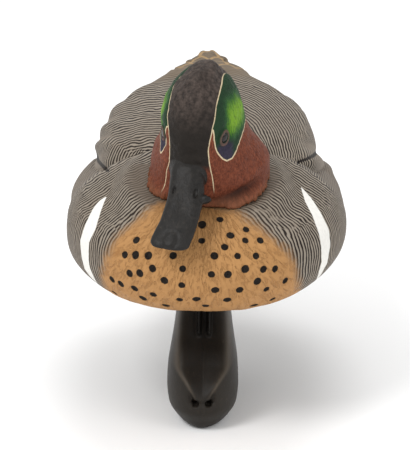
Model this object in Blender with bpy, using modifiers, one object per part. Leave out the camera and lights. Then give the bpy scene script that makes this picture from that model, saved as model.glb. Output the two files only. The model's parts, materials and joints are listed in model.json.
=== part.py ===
"""Floating duck decoy: a hollow hull, a head that swivels on a round socket, and a screwed-on ballasted keel.

The duck faces -Y and +Z is up. The origin is the middle of the keel's flat foot. Most shapes are drawn in
the hull frame, whose y runs back from the breast and whose z runs up from the hull's flat bottom, and the
head's parts in the swivel frame, whose z is the axis the head turns about.
"""

import math

import bmesh
import bpy
from mathutils import Matrix, Vector

MM = 0.001
SLIGHT = 0.05 * MM  # keeps a shape that shrinks to nothing just above nothing
GAP = 0.3 * MM  # clearance between pieces that touch

# Driving dimensions of the hull, in the hull frame
HULL_LENGTH = 284 * MM
HULL_WALL = 2.4 * MM
NOSE_HEIGHT = 31 * MM  # height of the breast's foremost point
WIDEST_AT = 105 * MM  # how far back the plan first reaches its full width
BREAST_ROUND = 30 * MM  # length of the rounded front of the side profile, above the nose and below it
CHIN_ROUND = 42 * MM
TAIL_ROUND = 8 * MM  # length of the rounded end of the tail
CAVITY_END = 246 * MM  # the tail behind this is solid
BACK_LINE = (
    (0, 47), (27, 54), (56, 62), (84, 69.5), (120, 74), (165, 77), (205, 78), (250, 79), (268, 76.5),
    (284, 79),
)
BELLY_LINE = ((0, -0.5), (200, -0.5), (222, 5), (244, 27), (262, 53), (284, 75))
FLANK_LINE = (
    (0, 47), (27, 54), (56, 62), (84, 69), (118, 61), (160, 54.5), (200, 53), (230, 60), (255, 69), (284, 79),
)
WIDEST_LINE = ((0, 31), (60, 28), (105, 27), (190, 28), (222, 38), (244, 54), (262, 66), (284, 78))
FLANK_PLAN = ((105, 73), (150, 72.5), (190, 66), (215, 54), (235, 38), (250, 26), (265, 18.5), (284, 7))
WING_PLAN = (
    (0, 10), (84, 34), (118, 58.5), (160, 61.5), (200, 58.8), (222, 45), (238, 31.5), (250, 25), (257, 19),
    (263, 12), (275, 10), (284, 7),
)
BELLY_POWER = ((0, 2.3), (60, 2.8), (200, 2.6), (284, 2.3))
FLANK_POWER = 2.0
WING_POWER = 3.0
WING_CAVITY_INSET = 3.0  # the hollow stays this many walls clear of the step under the wings

# The swivel and its parts, measured along the swivel axis from the seat on the hull
SEAT_Y = 56 * MM
SEAT_Z = 61 * MM
SEAT_TILT = math.radians(14)
HEAD_YAW = math.radians(-15)  # the head looks a little to its own right
SEAT_RADIUS = 28.5 * MM
SEAT_DEPTH = 7 * MM
SEAT_FACING_RADIUS = 33 * MM  # the hull is cut back flat this far out, so that the head can turn
NECK_HOLE_RADIUS = 18 * MM
SOCKET_FLANGE_RADIUS = 24.5 * MM
SOCKET_FLANGE = 2 * MM
SOCKET_BORE_RADIUS = 13.5 * MM
SOCKET_LENGTH = 14 * MM
STEM_FLANGE_RADIUS = 22.5 * MM
STEM_FLANGE = 2.6 * MM
STEM_COLLAR_RADIUS = 15 * MM
STEM_COLLAR = 3 * MM
STEM_WALL = 2.5 * MM
RING_AT = -6 * MM
RING_RADIUS = 12.3 * MM
RING_THICKNESS = 1.6 * MM
STEM_SCREWS = 3
STEM_SCREW_CIRCLE = 17.8 * MM
STEM_SCREW_LENGTH = 7 * MM

# The head, in the swivel frame: (height, front, back, half width) of its cross-sections
HEAD_SECTIONS = (
    (0.4, -29, 29, 29), (10, -31.5, 28.5, 29), (19, -34, 23.5, 27.3), (27, -35.5, 18.5, 23.6),
    (34, -35.5, 16, 21.6), (45, -33, 14.5, 19.6), (54, -28.5, 11, 16.8), (61, -22.5, 5, 12),
    (65.5, -16.5, -1.5, 7.6), (67, -12, -6.5, 3),
)
HEAD_LEAN = 0.06  # how far the head leans to its left as it rises
HEAD_EGG = 0.14  # how much narrower the face is than the back of the head
HEAD_WALL = 2.4 * MM
HEAD_BASE_TOP = 14 * MM  # the head is solid up to here, apart from its middle
HEAD_HOLE_RADIUS = 9 * MM
HEAD_RECESS_RADIUS = 25.8 * MM

# The bill: where its top line starts in the swivel frame, its droop, and its sections
# (along, half width, top, bottom)
BILL_ROOT = Vector((1.5, -30, 28.7)) * MM
BILL_DROOP = math.radians(31)
BILL_SECTIONS = (
    (-8, 7.8, 1, -14), (6, 9.3, 0, -13), (18, 9.7, -1.8, -11), (31, 9.7, -2.2, -9), (41, 10.2, -1.6, -7.5),
    (46.5, 9.8, -1.6, -6.4), (49.3, 7.2, -2.2, -5.6), (50.4, 3.6, -3, -4.6),
)
EYE_RADIUS = 2.6 * MM
EYE_DEPTH = 1.8 * MM
EYE_HEIGHT = 35 * MM
EYE_TURN = math.radians(62)  # each eye looks this far round from straight ahead
EYE_LIFT = math.radians(10)

# The keel, in the hull frame: (height, front, back, half width)
KEEL_SECTIONS = (
    (-65, 41, 98, 8), (-63.5, 38, 103, 11.5), (-60, 35.5, 110, 14.6), (-54, 32, 120, 17.2),
    (-45, 31, 132, 18), (-36, 34, 143, 17.6), (-28, 39, 152, 16.2), (-20, 45, 162, 14.8),
    (-10, 50, 175, 13.6), (-2.1, 52, 186, 13.2),
)
# The trough pressed into the keel's front, above the bulb: (height, depth, half width)
KEEL_TROUGH = ((-46, 0, 3), (-40, 4, 6.5), (-32, 8.5, 11.5), (-20, 10.5, 11.5), (-2.1, 10.5, 11))
KEEL_NOSE = 24 * MM  # length of the rounded front of each keel section
KEEL_TAIL_HALF_WIDTH = 2.5 * MM
KEEL_CAVITY_FRONT = 68 * MM
KEEL_CAVITY_END_WALL = 4 * MM
KEEL_WALL = 2.4 * MM
TIE_Y, TIE_Z = 34.5 * MM, -49 * MM  # the line tie: a pinched web in the keel's nose with a hole through it
TIE_WEB = 3.4 * MM
TIE_HOLE_RADIUS = 1.8 * MM
TIE_FLAT_RADIUS = 4.2 * MM
TIE_MOUTH_RADIUS = 7.5 * MM
TIE_POCKET_DEPTH = 18 * MM
FOOT_Y = 69 * MM
FLANGE_HALF_WIDTH = 22.5 * MM
FLANGE_FRONT = 60 * MM
FLANGE_BACK = 184 * MM
FLANGE = 3 * MM
GASKET = 1.5 * MM
KEEL_SCREW_X = 18 * MM
KEEL_SCREW_Y = (72 * MM, 122 * MM, 172 * MM)
KEEL_SCREW_LENGTH = 11 * MM
BOSS_RADIUS = 4.5 * MM
BOSS_HEIGHT = 10 * MM
BALLAST_TOP = -33 * MM
SCREW_SHANK_RADIUS = 1.5 * MM
SCREW_HEAD_RADIUS = 3 * MM
SCREW_HEAD = 1.6 * MM
SCREW_HOLE_RADIUS = SCREW_SHANK_RADIUS + GAP

# The drain plug, pushed up into the hull's bottom
PLUG_Y = 196 * MM
PLUG_RADIUS = 4.7 * MM
PLUG_HEAD_RADIUS = 7.5 * MM
PLUG_HEAD = 2.5 * MM
PLUG_LENGTH = 7 * MM

HULL_DATUM = Vector((0, -FOOT_Y, -KEEL_SECTIONS[0][0] * MM))
UP = Vector((0, 0, 1))


# ---------------------------------------------------------------- helpers

def curve_through(points, unit=MM):
    """A smooth function through (x, y) points that never overshoots them."""
    xs = [p[0] * unit for p in points]
    ys = [p[1] for p in points]
    slopes = [(ys[i + 1] - ys[i]) / (xs[i + 1] - xs[i]) for i in range(len(xs) - 1)]
    tangents = [slopes[0]]
    for before, after in zip(slopes, slopes[1:]):
        same_way = before * after > 0
        tangents.append(2 * before * after / (before + after) if same_way else 0.0)
    tangents.append(slopes[-1])

    def value(x):
        x = min(max(x, xs[0]), xs[-1])
        i = max(k for k in range(len(xs) - 1) if xs[k] <= x)
        width = xs[i + 1] - xs[i]
        t = (x - xs[i]) / width
        start = (1 + 2 * t) * (1 - t) ** 2 * ys[i] + t * (1 - t) ** 2 * width * tangents[i]
        end = t * t * (3 - 2 * t) * ys[i + 1] + t * t * (t - 1) * width * tangents[i + 1]
        return start + end

    return value


def round_end(distance, length):
    """Grows from 0 to 1 over a length, as a quarter circle does."""
    share = 1 - min(max(distance / length, 0.0), 1.0)
    return math.sqrt(max(0.0, 1 - share * share))


def power(value, exponent):
    """A signed power, for superellipses."""
    return math.copysign(abs(value) ** exponent, value)


def reach(across, up, half, height, exponent):
    """How far a superellipse reaches from its middle in the direction (across, up)."""
    return ((abs(across) / half) ** exponent + (abs(up) / height) ** exponent) ** (-1 / exponent)


def spread(start, end, count, ends=0.5):
    """Numbers from start to end that lie closer together at both ends as ends goes from 0 to 1."""
    for i in range(count):
        t = i / (count - 1)
        rounded = (1 - math.cos(math.pi * t)) / 2
        yield start + (end - start) * (t + (rounded - t) * ends)


def loft(name, rings):
    """A closed mesh object through rings of equal length, capped at both ends."""
    mesh = bpy.data.meshes.new(name)
    shape = bmesh.new()
    loops = [[shape.verts.new(point) for point in ring] for ring in rings]
    count = len(rings[0])
    for low, high in zip(loops, loops[1:]):
        for i in range(count):
            j = (i + 1) % count
            shape.faces.new((low[i], low[j], high[j], high[i]))
    shape.faces.new(loops[0])
    shape.faces.new(reversed(loops[-1]))
    bmesh.ops.triangulate(shape, faces=[f for f in shape.faces if len(f.verts) > 4])
    bmesh.ops.recalc_face_normals(shape, faces=shape.faces)
    shape.to_mesh(mesh)
    shape.free()
    return bpy.data.objects.new(name, mesh)


def cylinder(name, radius, low, high, x=0.0, y=0.0, top_radius=None, segments=32):
    """An upright cylinder or cone between two heights."""
    mesh = bpy.data.meshes.new(name)
    shape = bmesh.new()
    bmesh.ops.create_cone(
        shape, cap_ends=True, segments=segments, radius1=radius,
        radius2=radius if top_radius is None else top_radius, depth=high - low,
        matrix=Matrix.Translation((x, y, (low + high) / 2)),
    )
    shape.to_mesh(mesh)
    shape.free()
    return bpy.data.objects.new(name, mesh)


def turned(name, profile, segments=40):
    """A solid of revolution about z, from (radius, height) pairs down its outer side and back up."""
    mesh = bpy.data.meshes.new(name)
    shape = bmesh.new()
    points = [shape.verts.new((radius, 0, height)) for radius, height in profile]
    closed = profile[0][0] > 0
    pairs = zip(points, points[1:] + points[:1] if closed else points[1:])
    for a, b in pairs:
        shape.edges.new((a, b))
    shape.to_mesh(mesh)
    shape.free()
    made = bpy.data.objects.new(name, mesh)
    screw = made.modifiers.new("turn", "SCREW")
    screw.steps = segments
    screw.render_steps = segments
    screw.use_merge_vertices = True
    screw.merge_threshold = 0.00005
    return made


def box(name, low, high, bevel=0.0):
    """A box between two corners, with its upright edges rounded."""
    mesh = bpy.data.meshes.new(name)
    shape = bmesh.new()
    bmesh.ops.create_cube(shape, size=1)
    size = Vector(high) - Vector(low)
    bmesh.ops.scale(shape, vec=size, verts=shape.verts)
    bmesh.ops.translate(shape, vec=(Vector(high) + Vector(low)) / 2, verts=shape.verts)
    if bevel:
        upright = [e for e in shape.edges if abs((e.verts[0].co - e.verts[1].co).normalized().z) > 0.9]
        bmesh.ops.bevel(shape, geom=upright, offset=bevel, segments=6, affect="EDGES", profile=0.5)
    shape.to_mesh(mesh)
    shape.free()
    return bpy.data.objects.new(name, mesh)


def place(made, parent, material=None, collection=None):
    """Puts an object in a collection under a parent empty."""
    (collection or PARTS).objects.link(made)
    made.parent = parent
    if material is not None:
        made.data.materials.append(material)
    return made


def cut(target, cutter, operation="DIFFERENCE"):
    """Cuts one object with another, or joins it on."""
    place(cutter, target.parent, collection=CUTTERS)
    cutter.hide_render = True
    cutter.display_type = "WIRE"
    step = target.modifiers.new(cutter.name, "BOOLEAN")
    step.operation = operation
    step.solver = "EXACT"
    step.object = cutter


def join(target, other):
    cut(target, other, "UNION")


def smooth(made, angle=40):
    made.data.shade_smooth()
    made.data.set_sharp_from_angle(angle=math.radians(angle))
    return made


def material(name, colour, roughness, metallic=0.0):
    made = bpy.data.materials.new(name)
    made.use_nodes = True
    shader = made.node_tree.nodes["Principled BSDF"]
    shader.inputs["Base Color"].default_value = (*colour, 1)
    shader.inputs["Roughness"].default_value = roughness
    shader.inputs["Metallic"].default_value = metallic
    return made


# ---------------------------------------------------------------- hull

def hull_ring(y, inset, count):
    """A cross-section of the hull at a distance back from the breast, drawn in by inset.

    Above its widest line it is the larger of two forms: the low rounded flanks and the boxier folded wings.
    """
    nose, chin = round_end(y - inset, BREAST_ROUND), round_end(y - inset, CHIN_ROUND)
    tail = round_end(HULL_LENGTH - inset - y, TAIL_ROUND)
    plan = round_end(y - inset, WIDEST_AT) ** 0.97 * tail
    low = NOSE_HEIGHT + (BELLY(y) * MM + inset - NOSE_HEIGHT) * chin
    high = NOSE_HEIGHT + (BACK(y) * MM - inset - NOSE_HEIGHT) * nose
    flank_high = NOSE_HEIGHT + (FLANK(y) * MM - 2 * inset - NOSE_HEIGHT) * nose
    middle = min(max(WIDEST(y) * MM, low + SLIGHT), flank_high - SLIGHT)
    flank_half = (FLANK_HALF(y) * MM - inset) * plan
    wing_half = max(WING_HALF(y) * MM - WING_CAVITY_INSET * inset, SLIGHT) * plan
    ring = []
    for i in range(count):
        angle = 2 * math.pi * i / count
        above = math.cos(angle) >= 0
        across = flank_half * math.sin(angle)
        up = (high - middle if above else middle - low) * math.cos(angle)
        length = math.hypot(across, up)
        across, up = across / length, up / length
        if above:
            flank = reach(across, up, flank_half, (flank_high - middle) * tail, FLANK_POWER)
            radius = max(flank, reach(across, up, wing_half, (high - middle) * tail, WING_POWER))
        else:
            radius = reach(across, up, flank_half, (middle - low) * tail, BELLY_SHAPE(y))
        ring.append(Vector((across * radius, y, middle + up * radius)))
    return ring


def hull_solid(name, inset, start, end, rings, count):
    stations = list(spread(start, end, rings, 0.85))
    return loft(name, [hull_ring(y, inset, count) for y in stations])


def build_body_shell():
    """The blow-moulded hull: hollow, open at the neck and at the drain, with a flat bottom for the keel."""
    skin = 0.15 * MM
    shell = hull_solid("body_shell", 0.0, skin, HULL_LENGTH - skin, 28, 40)
    place(shell, HULL, BODY_PAINT)
    pad = cylinder("seat_pad", SEAT_RADIUS, -SEAT_DEPTH, 0, segments=40)
    pad.matrix_local = SEAT_MATRIX
    join(shell, pad)
    cavity = hull_solid("hull_cavity", HULL_WALL, HULL_WALL + skin, CAVITY_END, 18, 24)
    cut(shell, cavity)
    for index, (x, y) in enumerate(keel_screw_places()):
        join(shell, cylinder(f"boss_{index}", BOSS_RADIUS, 1 * MM, BOSS_HEIGHT, x, y, segments=16))
    cut(shell, box("flat_bottom", (-0.1, -0.05, -0.05), (0.1, 0.35, 0)))
    collar_radius = NECK_HOLE_RADIUS + HULL_WALL
    collar = cylinder("neck_collar", collar_radius, -SEAT_DEPTH - 1 * MM, -1 * MM, segments=32)
    collar.matrix_local = SEAT_MATRIX
    join(shell, collar)
    hole = cylinder("neck_hole", NECK_HOLE_RADIUS, -30 * MM, 20 * MM, segments=32)
    hole.matrix_local = SEAT_MATRIX
    cut(shell, hole)
    facing = cylinder("seat_facing", SEAT_FACING_RADIUS, 0, 20 * MM, segments=40)
    facing.matrix_local = SEAT_MATRIX
    cut(shell, facing)
    for index, (x, y) in enumerate(keel_screw_places()):
        top = BOSS_HEIGHT - 1.5 * MM
        cut(shell, cylinder(f"boss_hole_{index}", SCREW_HOLE_RADIUS, -5 * MM, top, x, y, segments=12))
    cut(shell, cylinder("drain_hole", PLUG_RADIUS + GAP, -5 * MM, 12 * MM, y=PLUG_Y, segments=24))
    return smooth(shell)


def build_drain_plug():
    profile = (
        (0, PLUG_LENGTH), (PLUG_RADIUS - 1 * MM, PLUG_LENGTH), (PLUG_RADIUS, PLUG_LENGTH - 2 * MM),
        (PLUG_RADIUS, -GAP), (PLUG_HEAD_RADIUS, -GAP), (PLUG_HEAD_RADIUS, -GAP - 0.6 * PLUG_HEAD),
        (PLUG_HEAD_RADIUS - 1.5 * MM, -GAP - PLUG_HEAD), (0, -GAP - PLUG_HEAD),
    )
    plug = turned("drain_plug", profile, 24)
    plug.location = (0, PLUG_Y, 0)
    return smooth(place(plug, HULL, RUBBER))


# ---------------------------------------------------------------- neck

def build_neck_socket():
    """The bush in the hull's neck opening that the stem turns in."""
    outer = NECK_HOLE_RADIUS - GAP
    top = GAP + SOCKET_FLANGE
    profile = (
        (SOCKET_BORE_RADIUS, top), (SOCKET_FLANGE_RADIUS, top), (SOCKET_FLANGE_RADIUS, GAP), (outer, GAP),
        (outer, -SOCKET_LENGTH), (SOCKET_BORE_RADIUS, -SOCKET_LENGTH),
    )
    return smooth(place(turned("neck_socket", profile), SEAT, BLACK_PLASTIC))


def build_neck_stem():
    """The hollow stub on the head: a flange, a plug with a ring groove, and a snap collar at its foot."""
    low = 2 * GAP + SOCKET_FLANGE
    high = low + STEM_FLANGE
    plug = SOCKET_BORE_RADIUS - GAP
    groove = RING_RADIUS - RING_THICKNESS / 2 - GAP
    half_groove = RING_THICKNESS / 2 + GAP
    collar_top = -SOCKET_LENGTH - 2 * GAP
    bore = SOCKET_BORE_RADIUS - 2 * STEM_WALL
    profile = (
        (bore, high), (STEM_FLANGE_RADIUS, high), (STEM_FLANGE_RADIUS, low), (plug, low),
        (plug, RING_AT + half_groove), (groove, RING_AT + half_groove), (groove, RING_AT - half_groove),
        (plug, RING_AT - half_groove), (plug, collar_top), (STEM_COLLAR_RADIUS, collar_top),
        (plug, collar_top - STEM_COLLAR), (bore, collar_top - STEM_COLLAR),
    )
    stem = place(turned("neck_stem", profile), HEAD, BLACK_PLASTIC)
    for index, (x, y) in enumerate(stem_screw_places()):
        cut(stem, cylinder(f"stem_hole_{index}", SCREW_HOLE_RADIUS, 0, 2 * high, x, y, segments=12))
        head_room = low + SCREW_HEAD + GAP
        cut(stem, cylinder(f"stem_sink_{index}", SCREW_HEAD_RADIUS + GAP, 0, head_room, x, y, segments=16))
    return smooth(stem)


def build_swivel_ring():
    """The rubber ring that seals the neck and holds the head where it is turned to."""
    bpy.ops.mesh.primitive_torus_add(
        major_radius=RING_RADIUS, minor_radius=RING_THICKNESS / 2, major_segments=32, minor_segments=8
    )
    ring = bpy.context.object
    ring.name = "swivel_ring"
    for collection in list(ring.users_collection):
        collection.objects.unlink(ring)
    ring.location = (0, 0, RING_AT)
    return smooth(place(ring, HEAD, RUBBER))


def build_screw(name, parent, x, y, seat, length):
    """A pan-head screw that points up, its head's upper face at the seat height."""
    profile = (
        (0, seat + length), (0.4 * SCREW_SHANK_RADIUS, seat + length),
        (SCREW_SHANK_RADIUS, seat + length - 2 * SCREW_SHANK_RADIUS), (SCREW_SHANK_RADIUS, seat),
        (SCREW_HEAD_RADIUS, seat), (SCREW_HEAD_RADIUS, seat - 0.6 * SCREW_HEAD),
        (0.7 * SCREW_HEAD_RADIUS, seat - SCREW_HEAD), (0, seat - SCREW_HEAD),
    )
    screw = turned(name, profile, 12)
    screw.location = (x, y, 0)
    return smooth(place(screw, parent, STEEL))


def stem_screw_places():
    for index in range(STEM_SCREWS):
        angle = 2 * math.pi * (index / STEM_SCREWS + 0.25)
        yield STEM_SCREW_CIRCLE * math.cos(angle), STEM_SCREW_CIRCLE * math.sin(angle)


def build_stem_screws():
    seat = 2 * GAP + SOCKET_FLANGE + SCREW_HEAD
    for index, (x, y) in enumerate(stem_screw_places(), 1):
        build_screw(f"stem_screw_{index}", HEAD, x, y, seat, STEM_SCREW_LENGTH)


# ---------------------------------------------------------------- head

def head_ring(height, inset, count):
    """A cross-section of the head and neck, parallel to the seat."""
    front = HEAD_FRONT(height) * MM + inset
    back = HEAD_BACK(height) * MM - inset
    half = HEAD_HALF(height) * MM - inset
    egg = HEAD_EGG * min(height / HEAD_BASE_TOP, 1.0)
    ring = []
    for i in range(count):
        angle = 2 * math.pi * i / count
        x = half * math.sin(angle) * (1 + egg * math.cos(angle))
        y = (front + back) / 2 + (back - front) / 2 * math.cos(angle)
        ring.append(Vector((x + HEAD_LEAN * height, y, height)))
    return ring


def bill_ring(along, count):
    """A cross-section of the bill: a flat oval, in the bill's own frame with x across and z up."""
    high, low = BILL_TOP(along) * MM, BILL_BOTTOM(along) * MM
    half = BILL_HALF(along) * MM
    ring = []
    for i in range(count):
        angle = 2 * math.pi * i / count
        x = half * power(math.sin(angle), 0.85)
        z = (high + low) / 2 + (high - low) / 2 * power(math.cos(angle), 0.85)
        ring.append(Vector((x, -along, z)))
    return ring


def eye_matrix(side):
    """The frame of an eye's dimple. Its z points out of the head, and side is 1 on the duck's left."""
    out = Vector((side * math.sin(EYE_TURN), -math.cos(EYE_TURN), math.tan(EYE_LIFT))).normalized()
    ring = head_ring(EYE_HEIGHT, 0.0, 72)
    spot = max(ring, key=lambda point: point.x * out.x + point.y * out.y)
    return Matrix.Translation(spot) @ UP.rotation_difference(out).to_matrix().to_4x4()


def build_head_shell():
    """The blow-moulded head and bill: hollow above a solid base that the stem screws into."""
    first, last = HEAD_SECTIONS[0][0] * MM, HEAD_SECTIONS[-1][0] * MM
    heights = list(spread(first, last, 16, 0.4))
    shell = loft("head_shell", [head_ring(h, 0.0, 28) for h in heights])
    place(shell, HEAD, HEAD_PAINT)
    first_bill, last_bill = BILL_SECTIONS[0][0] * MM, BILL_SECTIONS[-1][0] * MM
    stations = list(spread(first_bill, last_bill, 12, 0.5))
    bill = loft("bill", [bill_ring(s, 16) for s in stations])
    bill.matrix_local = Matrix.Translation(BILL_ROOT) @ Matrix.Rotation(BILL_DROOP, 4, "X")
    join(shell, bill)
    top = last - HEAD_WALL
    levels = spread(HEAD_BASE_TOP, top - 1.5 * MM, 10)
    cut(shell, loft("head_cavity", [head_ring(h, HEAD_WALL, 20) for h in levels]))
    recess = 3 * GAP + SOCKET_FLANGE + STEM_FLANGE
    cut(shell, cylinder("head_recess", HEAD_RECESS_RADIUS, -5 * MM, recess, segments=32))
    cut(shell, cylinder("head_hole", HEAD_HOLE_RADIUS, 0, HEAD_BASE_TOP + 5 * MM, segments=24))
    pilot = 2 * GAP + SOCKET_FLANGE + SCREW_HEAD + STEM_SCREW_LENGTH + GAP
    for index, (x, y) in enumerate(stem_screw_places()):
        cut(shell, cylinder(f"pilot_{index}", SCREW_HOLE_RADIUS, 0, pilot, x, y, segments=12))
    for side, label in ((1, "left"), (-1, "right")):
        dimple = cylinder(f"eye_dimple_{label}", EYE_RADIUS + GAP, -EYE_DEPTH, 12 * MM, segments=20)
        dimple.matrix_local = eye_matrix(side)
        cut(shell, dimple)
    return smooth(shell)


def build_eye(label, side):
    """A domed bead that is pressed into the head's dimple."""
    steps = 4
    low = -EYE_DEPTH + GAP
    turns = [math.pi / 2 * i / steps for i in range(steps + 1)]
    dome = [(EYE_RADIUS * math.sin(turn), 0.3 * MM + 1.2 * MM * math.cos(turn)) for turn in turns]
    profile = [(0, dome[0][1])] + dome[1:] + [(EYE_RADIUS, low), (0, low)]
    eye = place(turned(f"eye_{label}", profile, 20), HEAD, EYE_GLOSS)
    eye.matrix_local = eye_matrix(side)
    return smooth(eye, 60)


# ---------------------------------------------------------------- keel

def keel_half_width(y, front, back, full):
    """Half the keel's thickness: a round nose, full width, then a long taper to a thin trailing edge."""
    nose = round_end(y - front, KEEL_NOSE)
    run = min(max((y - front - KEEL_NOSE) / (back - front - KEEL_NOSE), 0.0), 1.0)
    taper = 1 - run * run * (1 - KEEL_TAIL_HALF_WIDTH / full)
    return full * nose * taper * round_end(back - y, KEEL_TAIL_HALF_WIDTH)


def keel_trough(x, height):
    """How far back the keel's front is pressed in, this far from its middle."""
    edge = TROUGH_EDGE(height) * MM
    return TROUGH_DEPTH(height) * MM * max(0.0, 1 - (x / edge) ** 2)


def keel_ring(height, steps):
    """A level section through the keel, round from its front along its left side and back along its right."""
    front, back = KEEL_FRONT(height) * MM, KEEL_BACK(height) * MM
    full = KEEL_HALF(height) * MM
    stations = list(spread(front, back, steps, 0.8))
    sides = [(y, keel_half_width(y, front, back, full)) for y in stations[1:-1]]
    sides = [(y + (keel_trough(x, height) if y < front + KEEL_NOSE else 0), x) for y, x in sides]
    left = [Vector((x, y, height)) for y, x in sides]
    right = [Vector((-x, y, height)) for y, x in reversed(sides)]
    return [Vector((0, front + keel_trough(0, height), height))] + left + [Vector((0, back, height))] + right


def cavity_ring(height, inset, steps=12):
    """A level section through the keel's hollow, which starts behind the line tie."""
    front = KEEL_CAVITY_FRONT + inset
    sizes = (KEEL_FRONT(height) * MM, KEEL_BACK(height) * MM, KEEL_HALF(height) * MM)
    wall = KEEL_WALL + inset
    end = sizes[1]
    while keel_half_width(end, *sizes) < wall + 1 * MM:
        end -= 0.5 * MM
    end -= KEEL_CAVITY_END_WALL + inset
    sides = []
    for y in spread(front, end, steps, 0.5):
        corner = 0.3 + 0.7 * round_end(y - front, 5 * MM)
        sides.append((y, (keel_half_width(y, *sizes) - wall) * corner))
    left = [Vector((x, y, height)) for y, x in sides]
    right = [Vector((-x, y, height)) for y, x in reversed(sides)]
    return left + right


def keel_screw_places():
    for y in KEEL_SCREW_Y:
        yield KEEL_SCREW_X, y
        yield -KEEL_SCREW_X, y


def tie_matrix(side):
    return Matrix.Translation((0, TIE_Y, TIE_Z)) @ Matrix.Rotation(side * math.pi / 2, 4, "Y")


def build_keel_shell():
    """The keel: a hollow fin with a heavy front bulb, a line tie in its nose and a flange for its screws."""
    low, high = KEEL_SECTIONS[0][0] * MM, KEEL_SECTIONS[-1][0] * MM
    keel = loft("keel_shell", [keel_ring(h, 20) for h in spread(low, high, 18, 0.35)])
    place(keel, HULL, BLACK_PLASTIC)
    corner = (-FLANGE_HALF_WIDTH, FLANGE_FRONT, high - FLANGE)
    far_corner = (FLANGE_HALF_WIDTH, FLANGE_BACK, high)
    join(keel, box("keel_flange", corner, far_corner, 9 * MM))
    floor = low + 3 * MM
    levels = list(spread(floor, high - 5 * MM, 8, 0.3)) + [high + 2 * MM]
    cut(keel, loft("keel_cavity", [cavity_ring(h, 0.0) for h in levels]))
    for index, (x, y) in enumerate(keel_screw_places()):
        cut(keel, cylinder(f"flange_hole_{index}", SCREW_HOLE_RADIUS, -20 * MM, 10 * MM, x, y, segments=12))
    for side, label in ((1, "left"), (-1, "right")):
        pocket = cylinder(
            f"tie_pocket_{label}", TIE_FLAT_RADIUS, TIE_WEB / 2, TIE_WEB / 2 + TIE_POCKET_DEPTH,
            top_radius=TIE_MOUTH_RADIUS, segments=28,
        )
        pocket.matrix_local = tie_matrix(side)
        cut(keel, pocket)
    tie = cylinder("tie_hole", TIE_HOLE_RADIUS, -TIE_WEB, TIE_WEB, segments=16)
    tie.matrix_local = tie_matrix(1)
    cut(keel, tie)
    return smooth(keel)


def build_ballast():
    """The cast weight that fills the bulb."""
    levels = list(spread(KEEL_SECTIONS[0][0] * MM + 3 * MM + 0.5 * MM, BALLAST_TOP, 6, 0.2))
    return smooth(place(loft("ballast", [cavity_ring(h, 0.6 * MM, 10) for h in levels]), HULL, CEMENT))


def build_gasket():
    """The flat seal between the keel's flange and the hull."""
    corner = (-FLANGE_HALF_WIDTH, FLANGE_FRONT, -GAP - GASKET)
    far_corner = (FLANGE_HALF_WIDTH, FLANGE_BACK, -GAP)
    gasket = place(box("keel_gasket", corner, far_corner, 9 * MM), HULL, RUBBER)
    for index, (x, y) in enumerate(keel_screw_places()):
        hole = cylinder(f"gasket_hole_{index}", SCREW_HOLE_RADIUS, -10 * MM, 10 * MM, x, y, segments=12)
        cut(gasket, hole)
    return gasket


def build_keel_screws():
    seat = KEEL_SECTIONS[-1][0] * MM - FLANGE - GAP
    for index, (x, y) in enumerate(keel_screw_places(), 1):
        build_screw(f"keel_screw_{index}", HULL, x, y, seat, KEEL_SCREW_LENGTH)


# ---------------------------------------------------------------- build

for old in list(bpy.data.objects):
    bpy.data.objects.remove(old)

PARTS = bpy.data.collections.new("duck_decoy")
CUTTERS = bpy.data.collections.new("cutters")
bpy.context.scene.collection.children.link(PARTS)
bpy.context.scene.collection.children.link(CUTTERS)

BACK, BELLY, FLANK = curve_through(BACK_LINE), curve_through(BELLY_LINE), curve_through(FLANK_LINE)
WIDEST, BELLY_SHAPE = curve_through(WIDEST_LINE), curve_through(BELLY_POWER)
FLANK_HALF, WING_HALF = curve_through(FLANK_PLAN), curve_through(WING_PLAN)
HEAD_FRONT, HEAD_BACK, HEAD_HALF = (
    curve_through([(s[0], s[column]) for s in HEAD_SECTIONS]) for column in (1, 2, 3)
)
BILL_HALF, BILL_TOP, BILL_BOTTOM = (
    curve_through([(s[0], s[column]) for s in BILL_SECTIONS]) for column in (1, 2, 3)
)
KEEL_FRONT, KEEL_BACK, KEEL_HALF = (
    curve_through([(s[0], s[column]) for s in KEEL_SECTIONS]) for column in (1, 2, 3)
)
TROUGH_DEPTH, TROUGH_EDGE = (
    curve_through([(s[0], s[column]) for s in KEEL_TROUGH]) for column in (1, 2)
)

BODY_PAINT = material("body_paint", (0.30, 0.28, 0.25), 0.75)
HEAD_PAINT = material("head_paint", (0.22, 0.07, 0.04), 0.75)
BLACK_PLASTIC = material("black_plastic", (0.02, 0.02, 0.02), 0.5)
EYE_GLOSS = material("eye_gloss", (0.02, 0.012, 0.01), 0.08)
RUBBER = material("rubber", (0.015, 0.015, 0.015), 0.8)
STEEL = material("screw_steel", (0.55, 0.55, 0.56), 0.35, 1.0)
CEMENT = material("ballast_cement", (0.42, 0.41, 0.39), 0.9)

HULL = bpy.data.objects.new("hull_frame", None)
HULL.location = HULL_DATUM
PARTS.objects.link(HULL)
SEAT_MATRIX = Matrix.Translation((0, SEAT_Y, SEAT_Z)) @ Matrix.Rotation(SEAT_TILT, 4, "X")
SEAT = bpy.data.objects.new("seat_frame", None)
PARTS.objects.link(SEAT)
SEAT.parent = HULL
SEAT.matrix_local = SEAT_MATRIX
HEAD = bpy.data.objects.new("swivel_frame", None)
PARTS.objects.link(HEAD)
HEAD.parent = SEAT
HEAD.rotation_euler = (0, 0, HEAD_YAW)

build_body_shell()
build_drain_plug()
build_neck_socket()
build_neck_stem()
build_swivel_ring()
build_stem_screws()
build_head_shell()
build_eye("left", 1)
build_eye("right", -1)
build_keel_shell()
build_ballast()
build_gasket()
build_keel_screws()
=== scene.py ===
"""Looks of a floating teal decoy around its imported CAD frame. Lengths are in millimetres up to make_mesh."""

import json
import math

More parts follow.
